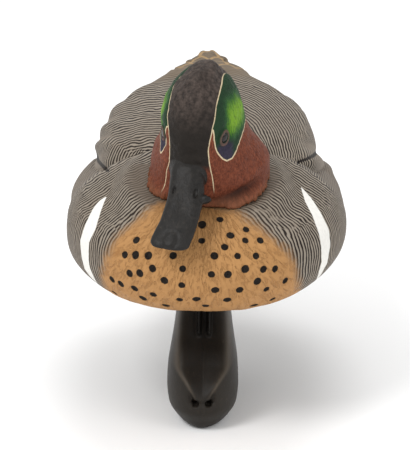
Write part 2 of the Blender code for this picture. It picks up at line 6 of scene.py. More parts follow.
import bmesh
import bpy
import numpy as np
from mathutils import Matrix, Vector


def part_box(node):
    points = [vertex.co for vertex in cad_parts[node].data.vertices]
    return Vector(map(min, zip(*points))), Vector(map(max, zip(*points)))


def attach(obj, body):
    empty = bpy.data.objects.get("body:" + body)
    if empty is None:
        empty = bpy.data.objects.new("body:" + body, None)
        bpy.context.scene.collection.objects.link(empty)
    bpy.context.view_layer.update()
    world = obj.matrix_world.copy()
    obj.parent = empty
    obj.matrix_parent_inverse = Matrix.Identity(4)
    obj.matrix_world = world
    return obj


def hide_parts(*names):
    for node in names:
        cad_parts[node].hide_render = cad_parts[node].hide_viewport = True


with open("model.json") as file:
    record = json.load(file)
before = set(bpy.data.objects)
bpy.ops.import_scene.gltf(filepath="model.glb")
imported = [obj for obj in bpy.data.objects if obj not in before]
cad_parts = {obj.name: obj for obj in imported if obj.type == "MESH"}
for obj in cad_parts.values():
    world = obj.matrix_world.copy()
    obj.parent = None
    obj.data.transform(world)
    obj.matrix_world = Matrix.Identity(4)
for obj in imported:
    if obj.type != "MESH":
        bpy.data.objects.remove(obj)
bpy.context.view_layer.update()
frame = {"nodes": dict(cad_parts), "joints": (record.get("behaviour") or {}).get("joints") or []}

MM = 0.001

# ---------------------------------------------------------------- frames

hull_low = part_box("body_shell")[0]
HULL_SKIN = 0.15  # the CAD hull starts this far behind the form's own front
HULL = np.array((0.0, hull_low.y / MM - HULL_SKIN, hull_low.z / MM))
swivel = next(j for j in frame["joints"] if j["name"] == "head_swivel")
SEAT = np.array(swivel["pos_m"], float) / MM - HULL
SEAT_UP = np.array(swivel["axis"], float)
SEAT_UP /= np.linalg.norm(SEAT_UP)
SEAT_SIDE = np.array((1.0, 0, 0))
SEAT_BACK = np.cross(SEAT_UP, SEAT_SIDE)
HEAD_TURN = math.radians(-15)
HEAD_SIDE = SEAT_SIDE * math.cos(HEAD_TURN) + SEAT_BACK * math.sin(HEAD_TURN)
HEAD_BACK = np.cross(SEAT_UP, HEAD_SIDE)
HEAD_AXES = np.stack((HEAD_SIDE, HEAD_BACK, SEAT_UP))

# ---------------------------------------------------------------- number helpers


def curve_through(points):
    """A smooth function through (x, y) points that never overshoots them."""
    xs, ys = (np.array(column, float) for column in zip(*points))
    slopes = np.diff(ys) / np.diff(xs)
    before, after = slopes[:-1], slopes[1:]
    same_way = before * after > 0
    total = np.where(same_way, before + after, 1.0)
    inner = np.where(same_way, 2 * before * after / total, 0.0)
    tangents = np.concatenate((slopes[:1], inner, slopes[-1:]))

    def value(x):
        x = np.clip(x, xs[0], xs[-1])
        i = np.clip(np.searchsorted(xs, x, side="right") - 1, 0, len(xs) - 2)
        width = xs[i + 1] - xs[i]
        t = (x - xs[i]) / width
        start = (1 + 2 * t) * (1 - t) ** 2 * ys[i] + t * (1 - t) ** 2 * width * tangents[i]
        return start + t * t * (3 - 2 * t) * ys[i + 1] + t * t * (t - 1) * width * tangents[i + 1]

    return value


def curves(rows):
    """For rows of (x, y, y, ...), a curve through each column of ys."""
    return [curve_through([(row[0], row[k]) for row in rows]) for k in range(1, len(rows[0]))]


def round_end(distance, length):
    """Grows from 0 to 1 over a length, as a quarter circle does."""
    share = 1 - np.clip(distance / length, 0, 1)
    return np.sqrt(np.maximum(0, 1 - share * share))


def reach(across, up, half, height, exponent):
    """How far a superellipse reaches from its middle in the direction (across, up)."""
    return ((np.abs(across) / half) ** exponent + (np.abs(up) / height) ** exponent) ** (-1 / exponent)


def smoothstep(low, high, value):
    """Goes smoothly from 0 at the low value to 1 at the high one."""
    t = np.clip((value - low) / (high - low), 0, 1)
    return t * t * (3 - 2 * t)


def hill(distance, spread):
    """1 where the distance is 0, falling away to both sides as a bell does."""
    return np.exp(-((distance / spread) ** 2))


def noise(points, scale, seed):
    """Smooth value noise from -1 to 1. The scale is the size of its cells."""
    cell = points / scale
    base = np.floor(cell).astype(np.int64)
    part = cell - base
    part = part * part * (3 - 2 * part)
    total = np.zeros(len(points))
    for corner in np.ndindex(2, 2, 2):
        key = (base + corner) @ np.array((73856093, 19349663, 83492791)) + seed * 2654435761
        key = ((key ^ (key >> 13)) * 1274126177) & 0x7FFFFFFF
        key = key ^ (key >> 16)
        total += ((key & 0xFFFF) / 32767.5 - 1) * np.prod(np.where(corner, part, 1 - part), axis=1)
    return total


def polyline_distance(points, line):
    """How far each point is from a line of points, and where on the line it is nearest, in points."""
    best = np.full(len(points), 1e9)
    along = np.zeros(len(points))
    for i, (a, b) in enumerate(zip(line[:-1], line[1:])):
        step = b - a
        t = np.clip((points - a) @ step / (step @ step), 0, 1)
        distance = np.linalg.norm(points - a - t[:, None] * step, axis=1)
        nearer = distance < best
        best = np.where(nearer, distance, best)
        along = np.where(nearer, i + t, along)
    return best, along


def polygon_distance(points, corners):
    """The distance from each 2D point to a closed outline, negative inside it."""
    distance, _ = polyline_distance(points, np.concatenate((corners, corners[:1])))
    inside = np.zeros(len(points), bool)
    for (ax, ay), (bx, by) in zip(corners, np.roll(corners, -1, axis=0)):
        crosses = (ay > points[:, 1]) != (by > points[:, 1])
        span = by - ay if by != ay else 1e-9
        inside ^= crosses & (points[:, 0] < (bx - ax) * (points[:, 1] - ay) / span + ax)
    return np.where(inside, -distance, distance)


# ---------------------------------------------------------------- mesh helpers


def grid_faces(rows, columns):
    """Quads of a tube of rings, with a fan at each end. The two end points come last."""
    ring = np.arange(columns)
    after = (ring + 1) % columns
    faces = []
    for row in range(rows - 1):
        a, b = row * columns, (row + 1) * columns
        faces.append(np.stack((a + ring, b + ring, b + after, a + after), axis=1))
    first, last = rows * columns, rows * columns + 1
    end = (rows - 1) * columns
    pairs = list(zip(ring.tolist(), after.tolist()))
    fans = [(first, a, b) for a, b in pairs] + [(end + b, end + a, last) for a, b in pairs]
    return np.concatenate(faces).tolist() + fans


def grid_normals(points):
    """Outward normals of a (rows, columns, 3) grid whose columns close on themselves."""
    along = np.gradient(points, axis=0)
    around = np.roll(points, -1, axis=1) - np.roll(points, 1, axis=1)
    normals = np.cross(around, along)
    normals /= np.maximum(np.linalg.norm(normals, axis=2, keepdims=True), 1e-9)
    middle = points.mean(axis=1, keepdims=True)
    if ((points - middle) * normals).sum() < 0:
        normals = -normals
    return normals


def with_ends(grid):
    """The grid's values as a list, with the means of its first and last rings added."""
    flat = grid.reshape(-1, *grid.shape[2:])
    return np.concatenate((flat, grid[0].mean(axis=0)[None], grid[-1].mean(axis=0)[None]))


def make_mesh(name, points, faces):
    """A closed mesh object from points in the row frame, in millimetres, facing out."""
    mesh = bpy.data.meshes.new(name)
    mesh.from_pydata((points * MM).tolist(), [], faces)
    made = bpy.data.objects.new(name, mesh)
    link(made)
    mesh.calc_loop_triangles()
    corners = np.empty(len(mesh.loop_triangles) * 3, np.int32)
    mesh.loop_triangles.foreach_get("vertices", corners)
    triangles = points[corners.reshape(-1, 3)]
    if np.linalg.det(triangles).sum() < 0:
        mesh.flip_normals()
    mesh.shade_smooth()
    return made


def mesh_points(made):
    """The object's points, in millimetres."""
    points = np.empty(len(made.data.vertices) * 3, np.float32)
    made.data.vertices.foreach_get("co", points)
    return points.reshape(-1, 3).astype(float) / MM


def mesh_normals(made):
    normals = np.empty(len(made.data.vertices) * 3, np.float32)
    made.data.vertices.foreach_get("normal", normals)
    return normals.reshape(-1, 3).astype(float)


def move_points(made, points):
    made.data.vertices.foreach_set("co", (points * MM).astype(np.float32).ravel())
    made.data.update()


def relax(made, points, weight, rounds):
    """Draws each point towards the middle of its neighbours, as far as its weight says."""
    edges = np.empty(len(made.data.edges) * 2, np.int32)
    made.data.edges.foreach_get("vertices", edges)
    a, b = edges.reshape(-1, 2).T
    count = np.bincount(a, minlength=len(points)) + np.bincount(b, minlength=len(points))
    for _ in range(rounds):
        middle = np.stack([
            np.bincount(a, weights=points[b, k], minlength=len(points))
            + np.bincount(b, weights=points[a, k], minlength=len(points)) for k in range(3)
        ], axis=1) / count[:, None]
        points = points + (middle - points) * weight[:, None]
    return points


def remeshed(made, voxel):
    """A new object with the voxel remesh of this one, which is removed."""
    step = made.modifiers.new("remesh", "REMESH")
    step.mode = "VOXEL"
    step.voxel_size = voxel * MM
    step.use_smooth_shade = True
    graph = bpy.context.evaluated_depsgraph_get()
    mesh = bpy.data.meshes.new_from_object(made.evaluated_get(graph))
    name = made.name
    bpy.data.objects.remove(made)
    result = bpy.data.objects.new(name, mesh)
    return link(result)


def add_values(made, **named):
    """Stores numbers or vectors on the mesh's points, for its material to read."""
    for name, values in named.items():
        kind = "FLOAT" if values.ndim == 1 else "FLOAT_VECTOR"
        field = "value" if values.ndim == 1 else "vector"
        attribute = made.data.attributes.new(name, kind, "POINT")
        attribute.data.foreach_set(field, values.astype(np.float32).ravel())


# ---------------------------------------------------------------- material helpers


def srgb(red, green, blue):
    """A linear colour from the 0-255 values a screen shows."""
    values = (v / 255 for v in (red, green, blue))
    return (*(v / 12.92 if v <= 0.04045 else ((v + 0.055) / 1.055) ** 2.4 for v in values), 1.0)


class Paint:
    """A node material built up one call at a time. Each call returns an output socket."""

    def __init__(self, name):
        self.material = bpy.data.materials.new(name)
        self.material.use_nodes = True
        self.tree = self.material.node_tree
        self.shader = self.tree.nodes["Principled BSDF"]

    def node(self, kind, inputs=(), **settings):
        made = self.tree.nodes.new(kind)
        for key, value in settings.items():
            setattr(made, key, value)
        for slot, value in dict(inputs).items():
            self.fill(made.inputs[slot], value)
        return made

    def fill(self, socket, value):
        if isinstance(value, bpy.types.NodeSocket):
            self.tree.links.new(value, socket)
        else:
            socket.default_value = value

    def value(self, name):
        return self.node("ShaderNodeAttribute", attribute_name=name).outputs["Fac"]

    def vector(self, name):
        return self.node("ShaderNodeAttribute", attribute_name=name).outputs["Vector"]

    def place(self):
        return self.node("ShaderNodeTexCoord").outputs["Object"]

    def math(self, operation, *values):
        return self.node("ShaderNodeMath", enumerate(values), operation=operation).outputs[0]

    def times(self, first, second):
        return self.math("MULTIPLY", first, second)

    def plus(self, first, second):
        return self.math("ADD", first, second)

    def centred(self, value, spread):
        """A value from 0 to 1 moved so that its middle is at 0, and made this many times as wide."""
        return self.times(self.math("SUBTRACT", value, 0.5), spread)

    def stretch(self, vector, x, y, z):
        inputs = {0: vector, 1: (x, y, z)}
        return self.node("ShaderNodeVectorMath", inputs, operation="MULTIPLY").outputs[0]

    def step(self, value, low, high, start=0.0, end=1.0):
        """Goes smoothly from start to end as the value goes from low to high."""
        inputs = {"Value": value, "From Min": low, "From Max": high, "To Min": start, "To Max": end}
        return self.node("ShaderNodeMapRange", inputs, interpolation_type="SMOOTHSTEP").outputs[0]

    def noise(self, scale, detail=3.0, roughness=0.5, vector=None, distortion=0.0):
        inputs = {"Vector": vector or self.place(), "Scale": scale, "Detail": detail, "Roughness": roughness,
                  "Distortion": distortion}
        return self.node("ShaderNodeTexNoise", inputs).outputs[0]

    def cells(self, scale):
        return self.node("ShaderNodeTexVoronoi", {"Vector": self.place(), "Scale": scale}).outputs[0]

    def mix(self, share, first, second, blend="MIX"):
        made = self.node("ShaderNodeMix", {0: share, 6: first, 7: second}, data_type="RGBA", blend_type=blend)
        return made.outputs[2]

    def blend(self, share, first, second):
        """A mix of two numbers."""
        return self.node("ShaderNodeMix", {0: share, 2: first, 3: second}, data_type="FLOAT").outputs[0]

    def ramp(self, share, *stops):
        """A colour ramp through (place, colour) stops."""
        made = self.node("ShaderNodeValToRGB", {0: share})
        points = made.color_ramp.elements
        while len(points) < len(stops):
            points.new(0.5)
        for point, (place, colour) in zip(points, stops):
            point.position, point.color = place, colour
        return made.outputs[0]

    def bump(self, height, depth):
        """A bump whose height 0 to 1 stands for this many millimetres."""
        inputs = {"Height": height, "Distance": depth * MM, "Strength": 1.0}
        return self.node("ShaderNodeBump", inputs).outputs[0]

    def finish(self, colour, roughness, normal=None, **others):
        self.fill(self.shader.inputs["Base Color"], colour)
        self.fill(self.shader.inputs["Roughness"], roughness)
        if normal is not None:
            self.fill(self.shader.inputs["Normal"], normal)
        for name, value in others.items():
            self.fill(self.shader.inputs[name.replace("_", " ")], value)
        return self.material


def dress(made, material):
    made.data.materials.clear()
    made.data.materials.append(material)


def stand_in(made, body, node):
    """Lets a finer piece ride on a body in the place of a CAD node."""
    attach(made, body)
    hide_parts(node)


def link(made):
    bpy.context.scene.collection.objects.link(made)
    return made


# ---------------------------------------------------------------- hull form

HULL_LENGTH = 284
NOSE_HEIGHT = 31
WIDEST_AT = 105
BREAST_ROUND = 30  # depth of the breast's curve above its nose, and below it
CHIN_ROUND = 42
TAIL_ROUND = 8
BACK = curve_through((
    (0, 47), (27, 54), (56, 62), (84, 69.5), (120, 74), (165, 77), (205, 78), (250, 79), (268, 76.5),
    (284, 79),
))
BELLY = curve_through(((0, -0.5), (200, -0.5), (222, 5), (244, 27), (262, 53), (284, 75)))
FLANK = curve_through((
    (0, 47), (27, 54), (56, 62), (84, 69), (118, 61), (160, 54.5), (200, 53), (230, 60), (255, 69), (284, 79),
))
WIDEST = curve_through(((0, 31), (60, 28), (105, 27), (190, 28), (222, 38), (244, 54), (262, 66), (284, 78)))
FLANK_HALF = curve_through((
    (105, 73), (150, 72.5), (190, 66), (215, 54), (235, 38), (250, 26), (265, 18.5), (284, 7),
))
WING_HALF = curve_through((
    (0, 10), (84, 34), (118, 58.5), (160, 61.5), (200, 58.8), (222, 45), (238, 31.5), (250, 25), (257, 19),
    (263, 12), (275, 10), (284, 7),
))
BELLY_POWER = curve_through(((0, 2.3), (60, 2.8), (200, 2.6), (284, 2.3)))
FLANK_POWER, WING_POWER = 2.0, 3.0


def hull_points(y, turn):
    """Points of the hull at rows y and turns from its top, and how far its wings stand out of its flanks."""
    y, turn = y[:, None], turn[None, :]
    nose, chin = round_end(y, BREAST_ROUND), round_end(y, CHIN_ROUND)
    tail = round_end(HULL_LENGTH - y, TAIL_ROUND)
    plan = round_end(y, WIDEST_AT) ** 0.97 * tail
    low = NOSE_HEIGHT + (BELLY(y) - NOSE_HEIGHT) * chin
    high = NOSE_HEIGHT + (BACK(y) - NOSE_HEIGHT) * nose
    flank_high = NOSE_HEIGHT + (FLANK(y) - NOSE_HEIGHT) * nose
    middle = np.clip(WIDEST(y), low + 0.05, flank_high - 0.05)
    flank_half, wing_half = FLANK_HALF(y) * plan, WING_HALF(y) * plan
    above = np.cos(turn) >= 0
    across = flank_half * np.sin(turn)
    up = np.where(above, high - middle, middle - low) * np.cos(turn)
    length = np.hypot(across, up)
    across, up = across / length, up / length
    flank = reach(across, up, flank_half, (flank_high - middle) * tail, FLANK_POWER)
    wing = reach(across, up, wing_half, (high - middle) * tail, WING_POWER)
    belly = reach(across, up, flank_half, (middle - low) * tail, BELLY_POWER(y))
    radius = np.where(above, np.maximum(flank, wing), belly)
    points = np.stack(np.broadcast_arrays(across * radius, y, middle + up * radius), axis=2)
    return points, np.where(above, wing - flank, -9.0)


# ---------------------------------------------------------------- body shell

BODY_ROWS = (260, 240, 20)  # front, middle and tail end
BODY_COLUMNS = 340
STRIPE_PITCH = 2.25  # the painted grooves on breast sides and flanks
# On top of the back the grooves are circles in the view from the front, on the duck's right and on its left:
# x and height of their centre, how many times as close they lie, and the start of their count, which brings
# the two sides together on the middle of the back
SWIRLS = ((-30, 64.6, 1.15, 0), (2, 83, 1.22, 18.3))
SHOULDER_SLOPE, SHOULDER_PITCH = 0.65, 1.45  # in front of the wings the grooves run straight out and down
# How many grooves lie inside each radius
SWIRL_PITCH = curve_through(((0, 0), (40, 23.5), (60, 36), (80, 50.5), (120, 84)))
# Where the wing's lobes meet, as heights in the view from the front: the duck's right side, then its left
NOTCHES = (
    (86.9, 97.2, 107.7, 121.1, 131.2, 145.2, 150.5), (91.6, 116.1, 124.9, 133.9, 148.3, 152.5),
)
LOBE_BULGE = (1.5, 1.0)  # on the duck's right and on its left
LOBE_SKEW = 1.5  # each lobe is fullest above its middle
# Marks placed in the view from the front, as (to the duck's left, height). The bars add half their width.
BAR_RIGHT = (
    (-48.1, 64.5, 0.2), (-50.3, 61.8, 1.4), (-52.3, 58, 2.2), (-55.0, 50.1, 3.0), (-57.9, 42.7, 2.5),
    (-57.8, 35.4, 2.0), (-56.8, 29.4, 1.6), (-54.3, 25.3, 0.9), (-51.5, 21.3, -0.1),
)
BAR_LEFT = (
    (48.6, 70.2, 0.2), (51.8, 64.1, 1.8), (56.0, 56.6, 2.3), (59.4, 48.4, 2.8), (60.4, 41.9, 2.5),
    (60.0, 33.5, 1.6), (57.7, 27.2, 0.8), (55.8, 23, -0.1),
)
CREASE_RIGHT = ((-62.5, 92.5), (-60.3, 89), (-58.2, 85.3), (-53.6, 81.2), (-49, 78.8))
CREASE_LEFT = ((63, 93.8), (60, 91.3), (57.5, 89), (53.1, 86.2), (48.2, 84))
BREAST = (
    (-14, 64), (-23, 61), (-36, 53), (-44, 44.5), (-49.5, 34.5), (-51, 27), (-49, 15), (-44, 4), (44, 4),
    (49, 12), (50, 22), (47.5, 30), (43.5, 38.5), (36, 47), (26, 53), (16, 59), (6, 64),
)
# Breast spots: for each row its height in the view from the front, and how far each spot lies from the centre
SPOTS = (
    (52.5, (8.5,)), (50.5, (0,)), (49, (21,)), (46, (13.7,)), (43.6, (-31.5, 0, 20.8, 27.8)), (40.5, (11,)),
    (36.4, (-37, -31.6, -25.5, -13.3, 6.1, 17, 25.7)), (30.2, (-23.3, -9, 20.7, 29.6, 34.8)),
    (27.6, (-34.6, -29.4, 4.8, 12.7)), (24.4, (-43.4, -17.5, 26.6, 40)), (22.4, (-39.2, -9.4)),
    (20.2, (-32.4, 6.6, 18.3, 31)), (17.5, (-43, -23.2)), (15.3, (-28.3, -10.6, -2.3, 12.1, 34.1)),
    (12.2, (-35, -17.3, 2, 15.8, 25)), (9.6, (-26, -7, 9, 33)), (6.5, (-15, 1.5, 20)),
)
SPOT_RADIUS = 1.85
TAIL_SLITS = (-20.3, 12.8)  # between the tail's feathers, to the duck's left
# Fuller and leaner places of the sides: side (1 is the duck's left), height, spread and rise
SHOULDERS = ((1, 85, 4.5, 2.9), (1, 116, 4, 1.4), (-1, 124, 6, -1.0))
FRONT_TILT = math.radians(16.4)  # of the view from the front that all these places refer to
NECK_BORE, NECK_BORE_DEPTH = 18.2, 30
SEAT_FLAT, SEAT_BLEND = 36.6, 47  # the seat is flat out to the first radius and ends at the second
SEAT_GAP = 0.12
DRAIN_BORE, DRAIN_DEPTH = 5.2, 12
FEATHER_WIDTH, FEATHER_LENGTH = 10.5, 9
HULL_BEND = curve_through(((0, 0), (60, 0.2), (105, 0.4), (150, 0.3), (200, 0), (240, 0), (284, -0.5)))


def hull_rows():
    """Rows along the hull, close together where its front and its tail turn in."""
    front, middle, end = BODY_ROWS
    turn = np.linspace(math.radians(0.35), math.pi / 2, front, endpoint=False)
    swept = WIDEST_AT * (1 - np.cos(turn))
    straight = np.linspace(WIDEST_AT, HULL_LENGTH - TAIL_ROUND, middle, endpoint=False)
    turn = np.linspace(0, math.pi / 2 - 0.05, end)
    return np.concatenate((swept, straight, HULL_LENGTH - TAIL_ROUND * (1 - np.sin(turn))))


def lobes(height, notches):
    """1 in the middle of each wing lobe and 0 where two meet."""
    value = np.zeros_like(height)
    for a, b in zip(notches, notches[1:]):
        share = np.clip((height - a) / (b - a), 0, 1) ** LOBE_SKEW
        value = np.maximum(value, 4 * share * (1 - share))
    return value


def front_height(points):
    """How high each point stands in the view from the front."""
    return points[..., 1] * math.sin(FRONT_TILT) + points[..., 2] * math.cos(FRONT_TILT)


def sculpted(form, over):
    """The form with the wings' lobes raised, and with the small bends of a real moulding."""
    x, y, z = (form[..., k].copy() for k in range(3))
    height = front_height(form)
    raised = np.where(x < 0, lobes(height, NOTCHES[0]), lobes(height, NOTCHES[1]))
    edge = smoothstep(0.5, 0.92, np.abs(x) / np.maximum(WING_HALF(y), 1)) * smoothstep(96, 130, y)
    rear = smoothstep(205, 240, y)
    full = np.where(x < 0, *LOBE_BULGE) * (1 + 0.25 * rear)
    bulge = (raised - 0.1 - 0.35 * smoothstep(100, 126, height)) * full
    bulge *= smoothstep(-1, 2.5, over + 6 * rear) * edge
    for place, middle, spread, rise in SHOULDERS:
        beside = smoothstep(0.5, 0.9, x * place / np.maximum(WING_HALF(y), 1)) * smoothstep(70, 95, y)
        x = x + place * rise * beside * hill(height - middle, spread)
    x = x + np.sign(x) * bulge
    z = z + 0.35 * bulge
    x = np.where(x < 0, x * (1 - 0.02 * smoothstep(62, 95, y) * smoothstep(150, 112, y)), x)
    return np.stack((x + HULL_BEND(y), y, z), axis=-1)


def spot_distance(points):
    """The distance from each point to the edge of the nearest breast spot."""
    lift = front_height(points)
    facing = points[:, 1] < 48
    best = np.full(len(points), 1e9)
    for row, (height, places) in enumerate(SPOTS):
        for x in places:
            miss = np.hypot(points[:, 0] - x, lift - height) + np.where(facing, 0, 1e6)
            centre = points[np.argmin(miss)]
            size = SPOT_RADIUS * (1 + 0.12 * math.sin(7.3 * x + row))
            best = np.minimum(best, np.linalg.norm(points - centre, axis=1) - size)
    return best


def mark_distance(front, line):
    """The distance from each point of the front view to a line whose half width may change along it."""
    line = np.array(line)
    distance, place = polyline_distance(front, line[:, :2])
    if line.shape[1] == 3:
        distance = distance - np.interp(place, np.arange(len(line)), line[:, 2])
    return distance, place


def scallops(across, along, width, length):
    """The distance to the edges of rows of overlapping rounded feathers."""
    best = np.full(len(across), 1e9)
    covered = np.zeros(len(across), bool)
    row = np.floor(along / length)
    for step in (1, 0):
        this = row - step
        middle = (np.round(across / width - 0.5 * (this % 2)) + 0.5 * (this % 2)) * width
        half, reach_back = 0.56 * width, 1.35 * length
        x, y = across - middle, along - this * length
        reached = np.hypot(x / half, y / reach_back)
        slope = np.hypot(x / half**2, y / reach_back**2) / np.maximum(reached, 0.01)
        distance = np.abs(reached - 1) / np.maximum(slope, 1 / reach_back)
        best = np.where(covered, best, np.minimum(best, distance))
        covered |= reached < 1
    return best


def build_body():
    y = hull_rows()
    turn = np.linspace(-math.pi, math.pi, BODY_COLUMNS, endpoint=False)
    grid, over = hull_points(y, turn)
    steps = np.linalg.norm(np.diff(grid, axis=0), axis=2)
    along = np.concatenate((np.zeros((1, BODY_COLUMNS)), steps.cumsum(axis=0)))
    shaped = sculpted(grid, over)
    normals = with_ends(grid_normals(shaped))
    form, points, over, along = (with_ends(values) for values in (grid, shaped, over, along))
    form_x, form_y, form_z = form.T
    side = np.abs(form_x)
    right = form_x < 0
    lift_up = front_height(points)
    front = np.stack((points[:, 0], lift_up), axis=1)

    # the crease where each folded wing leaves the flank, and the soft undulation of the back
    # the crease's distance also places a dark line of painted shade in the paint
    crease = np.full(len(points), 9.0)
    for line in (CREASE_RIGHT, CREASE_LEFT):
        distance, place = mark_distance(front, line)
        width = 0.5 + 0.75 * np.sin(np.pi * np.clip(0.15 + 0.8 * place / (len(line) - 1), 0, 1)) ** 0.6
        crease = np.minimum(crease, distance / width)
    crease += 6 * (1 - smoothstep(66, 76, form_y) * smoothstep(222, 205, form_y))
    lift = -1.0 * hill(crease, 1.5)
    lift += 0.35 * noise(form, 13, 3) * smoothstep(60, 110, form_y)
    lift -= 0.5 * hill(over + 0.4, 1.1) * smoothstep(90, 120, form_y) * smoothstep(230, 200, form_y)

    # the tail: overlapping rounded feathers, two of them standing proud of its tip
    tail = smoothstep(232, 246, form_y) * smoothstep(30, 45, form_z) * smoothstep(0.1, 0.5, normals[:, 2])
    feather = scallops(points[:, 0], form_y, FEATHER_WIDTH, FEATHER_LENGTH)
    lift -= 0.25 * (1 - smoothstep(0, 0.7, feather)) * tail
    for place in (-2.9, 2.9):
        lift += 1.1 * hill(points[:, 0] - place + 1.2, 2.1) * smoothstep(268, 280, form_y)
    slit = np.min([np.abs(points[:, 0] - place) for place in TAIL_SLITS], axis=0) / 0.5
    slit += 6 * (1 - smoothstep(136, 138, lift_up) * smoothstep(144.5, 142.5, lift_up) * tail)
    lift -= 0.8 * hill(slit, 1.3)

    # breast: spots pressed in, and a shallow seam down the middle
    breast_edge = polygon_distance(front, np.array(BREAST, float))
    breast_edge = breast_edge + 1.3 * noise(form, 9, 5) + 0.7 * noise(form, 3, 6)
    breast = (1 - smoothstep(-8.5, 3.5, breast_edge)) * smoothstep(66, 48, form_y)
    spot = spot_distance(points)
    lift -= 0.8 * (1 - smoothstep(-0.9, 0.25, spot))
    lift += 0.12 * hill(spot - 0.5, 0.35)
    lift += 0.25 * noise(form, 7, 8) * breast
    lift -= 0.25 * breast * hill(side, 0.9)
    points += normals * lift[:, None]

    # the neck's seat is flat, with the socket's hole in it
    from_seat = points - SEAT
    height = from_seat @ SEAT_UP
    flat = from_seat - height[:, None] * SEAT_UP
    radius = np.linalg.norm(flat, axis=1)
    top = form_z > 40
    seat = top * (1 - smoothstep(SEAT_FLAT, SEAT_BLEND, radius))
    points -= (height + SEAT_GAP)[:, None] * seat[:, None] * SEAT_UP
    rim = top & (np.abs(radius - NECK_BORE) < 0.7)
    points[rim] += flat[rim] * (NECK_BORE / radius[rim] - 1)[:, None]
    points[top & (radius < NECK_BORE - 0.7)] -= NECK_BORE_DEPTH * SEAT_UP

    # the flat bottom, with the drain's hole in it
    points[:, 2] = np.maximum(points[:, 2], 0)
    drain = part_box("drain_plug")
    drain_y = (drain[0].y + drain[1].y) / 2 / MM - HULL[1]
    near_drain = np.hypot(points[:, 0], points[:, 1] - drain_y)
    bottom = form_z < 4
    points[bottom & (near_drain < DRAIN_BORE), 2] = DRAIN_DEPTH

    # paint
    stripe = along / STRIPE_PITCH
    stripe = stripe + 0.4 * noise(form, 4.6, 11) + 0.75 * noise(form, 15, 12) + 1.4 * noise(form, 44, 13)
    circles = [
        close * SWIRL_PITCH(np.hypot(points[:, 0] - x, lift_up - height)) + start
        for x, height, close, start in SWIRLS
    ]
    mantle = circles[0] + (circles[1] - circles[0]) * smoothstep(-16, 16, points[:, 0])
    shoulder = (lift_up + SHOULDER_SLOPE * np.where(right, -1, 1) * points[:, 0]) / SHOULDER_PITCH
    seen = np.stack((points[:, 0], lift_up, 0.05 * form_y), axis=1)
    waver = 0.34 * noise(seen, 2.4, 14) + 0.5 * noise(seen, 5.5, 15) + 1.1 * noise(seen, 19, 17)
    mantle, shoulder = mantle + waver, shoulder + waver
    on_shoulder = smoothstep(91, 86, form_y + 1.5 * noise(form, 6, 18))
    on_mantle = smoothstep(0.5, 0.78, normals[:, 2] + 0.1 * noise(form, 7, 16)) * smoothstep(16, 40, form_y)
    lobe = np.where(right, lobes(lift_up, NOTCHES[0]), lobes(lift_up, NOTCHES[1]))
    outward = side / np.maximum(WING_HALF(form_y), 1)
    margin = (1 - smoothstep(0.1, 0.3, lobe)) * smoothstep(0.72, 0.9, outward)
    margin *= smoothstep(110, 140, form_y) * (over > 0)
    depth = 1 - 0.75 * smoothstep(0.93, 1.03, outward) * smoothstep(88, 112, form_y)
    depth *= (1 - 0.75 * smoothstep(205, 240, form_y)) * (1 - 0.6 * margin)
    near_neck = (1 - smoothstep(33, 41, radius)) * (form_y < 70)
    depth *= 1 - 0.4 * near_neck
    bar = np.minimum(mark_distance(front, BAR_RIGHT)[0], mark_distance(front, BAR_LEFT)[0])
    in_front = form_z > 3.5 + 0.8 * np.maximum(form_y - 46, 0)
    bar = np.where((form_y < 66) & in_front, bar + 0.12 * noise(form, 1.6, 21), 99.0)
    rump = smoothstep(200, 226, form_y + 5 * noise(form, 12, 22)) * smoothstep(25, 45, form_z)
    belly = 1 - smoothstep(1.0, 4.0, form_z)

    made = make_mesh("body_paintwork", points + HULL, grid_faces(len(y), BODY_COLUMNS))
    fan = np.hypot(points[:, 0], 70 - lift_up)
    flow = np.stack((np.arctan2(points[:, 0], 70 - lift_up) * 42, fan, form_y * 0.1), axis=1)
    add_values(
        made, stripe=stripe, mantle=mantle, shoulder=shoulder, on_mantle=on_mantle, on_shoulder=on_shoulder,
        stripe_depth=depth, breast=breast, spot=spot, bar=bar,
        crease=crease, rump=rump, belly=belly, near_neck=near_neck, flow=flow, feather=feather, tail=tail,
        margin=margin, slit=slit,
    )
    return made


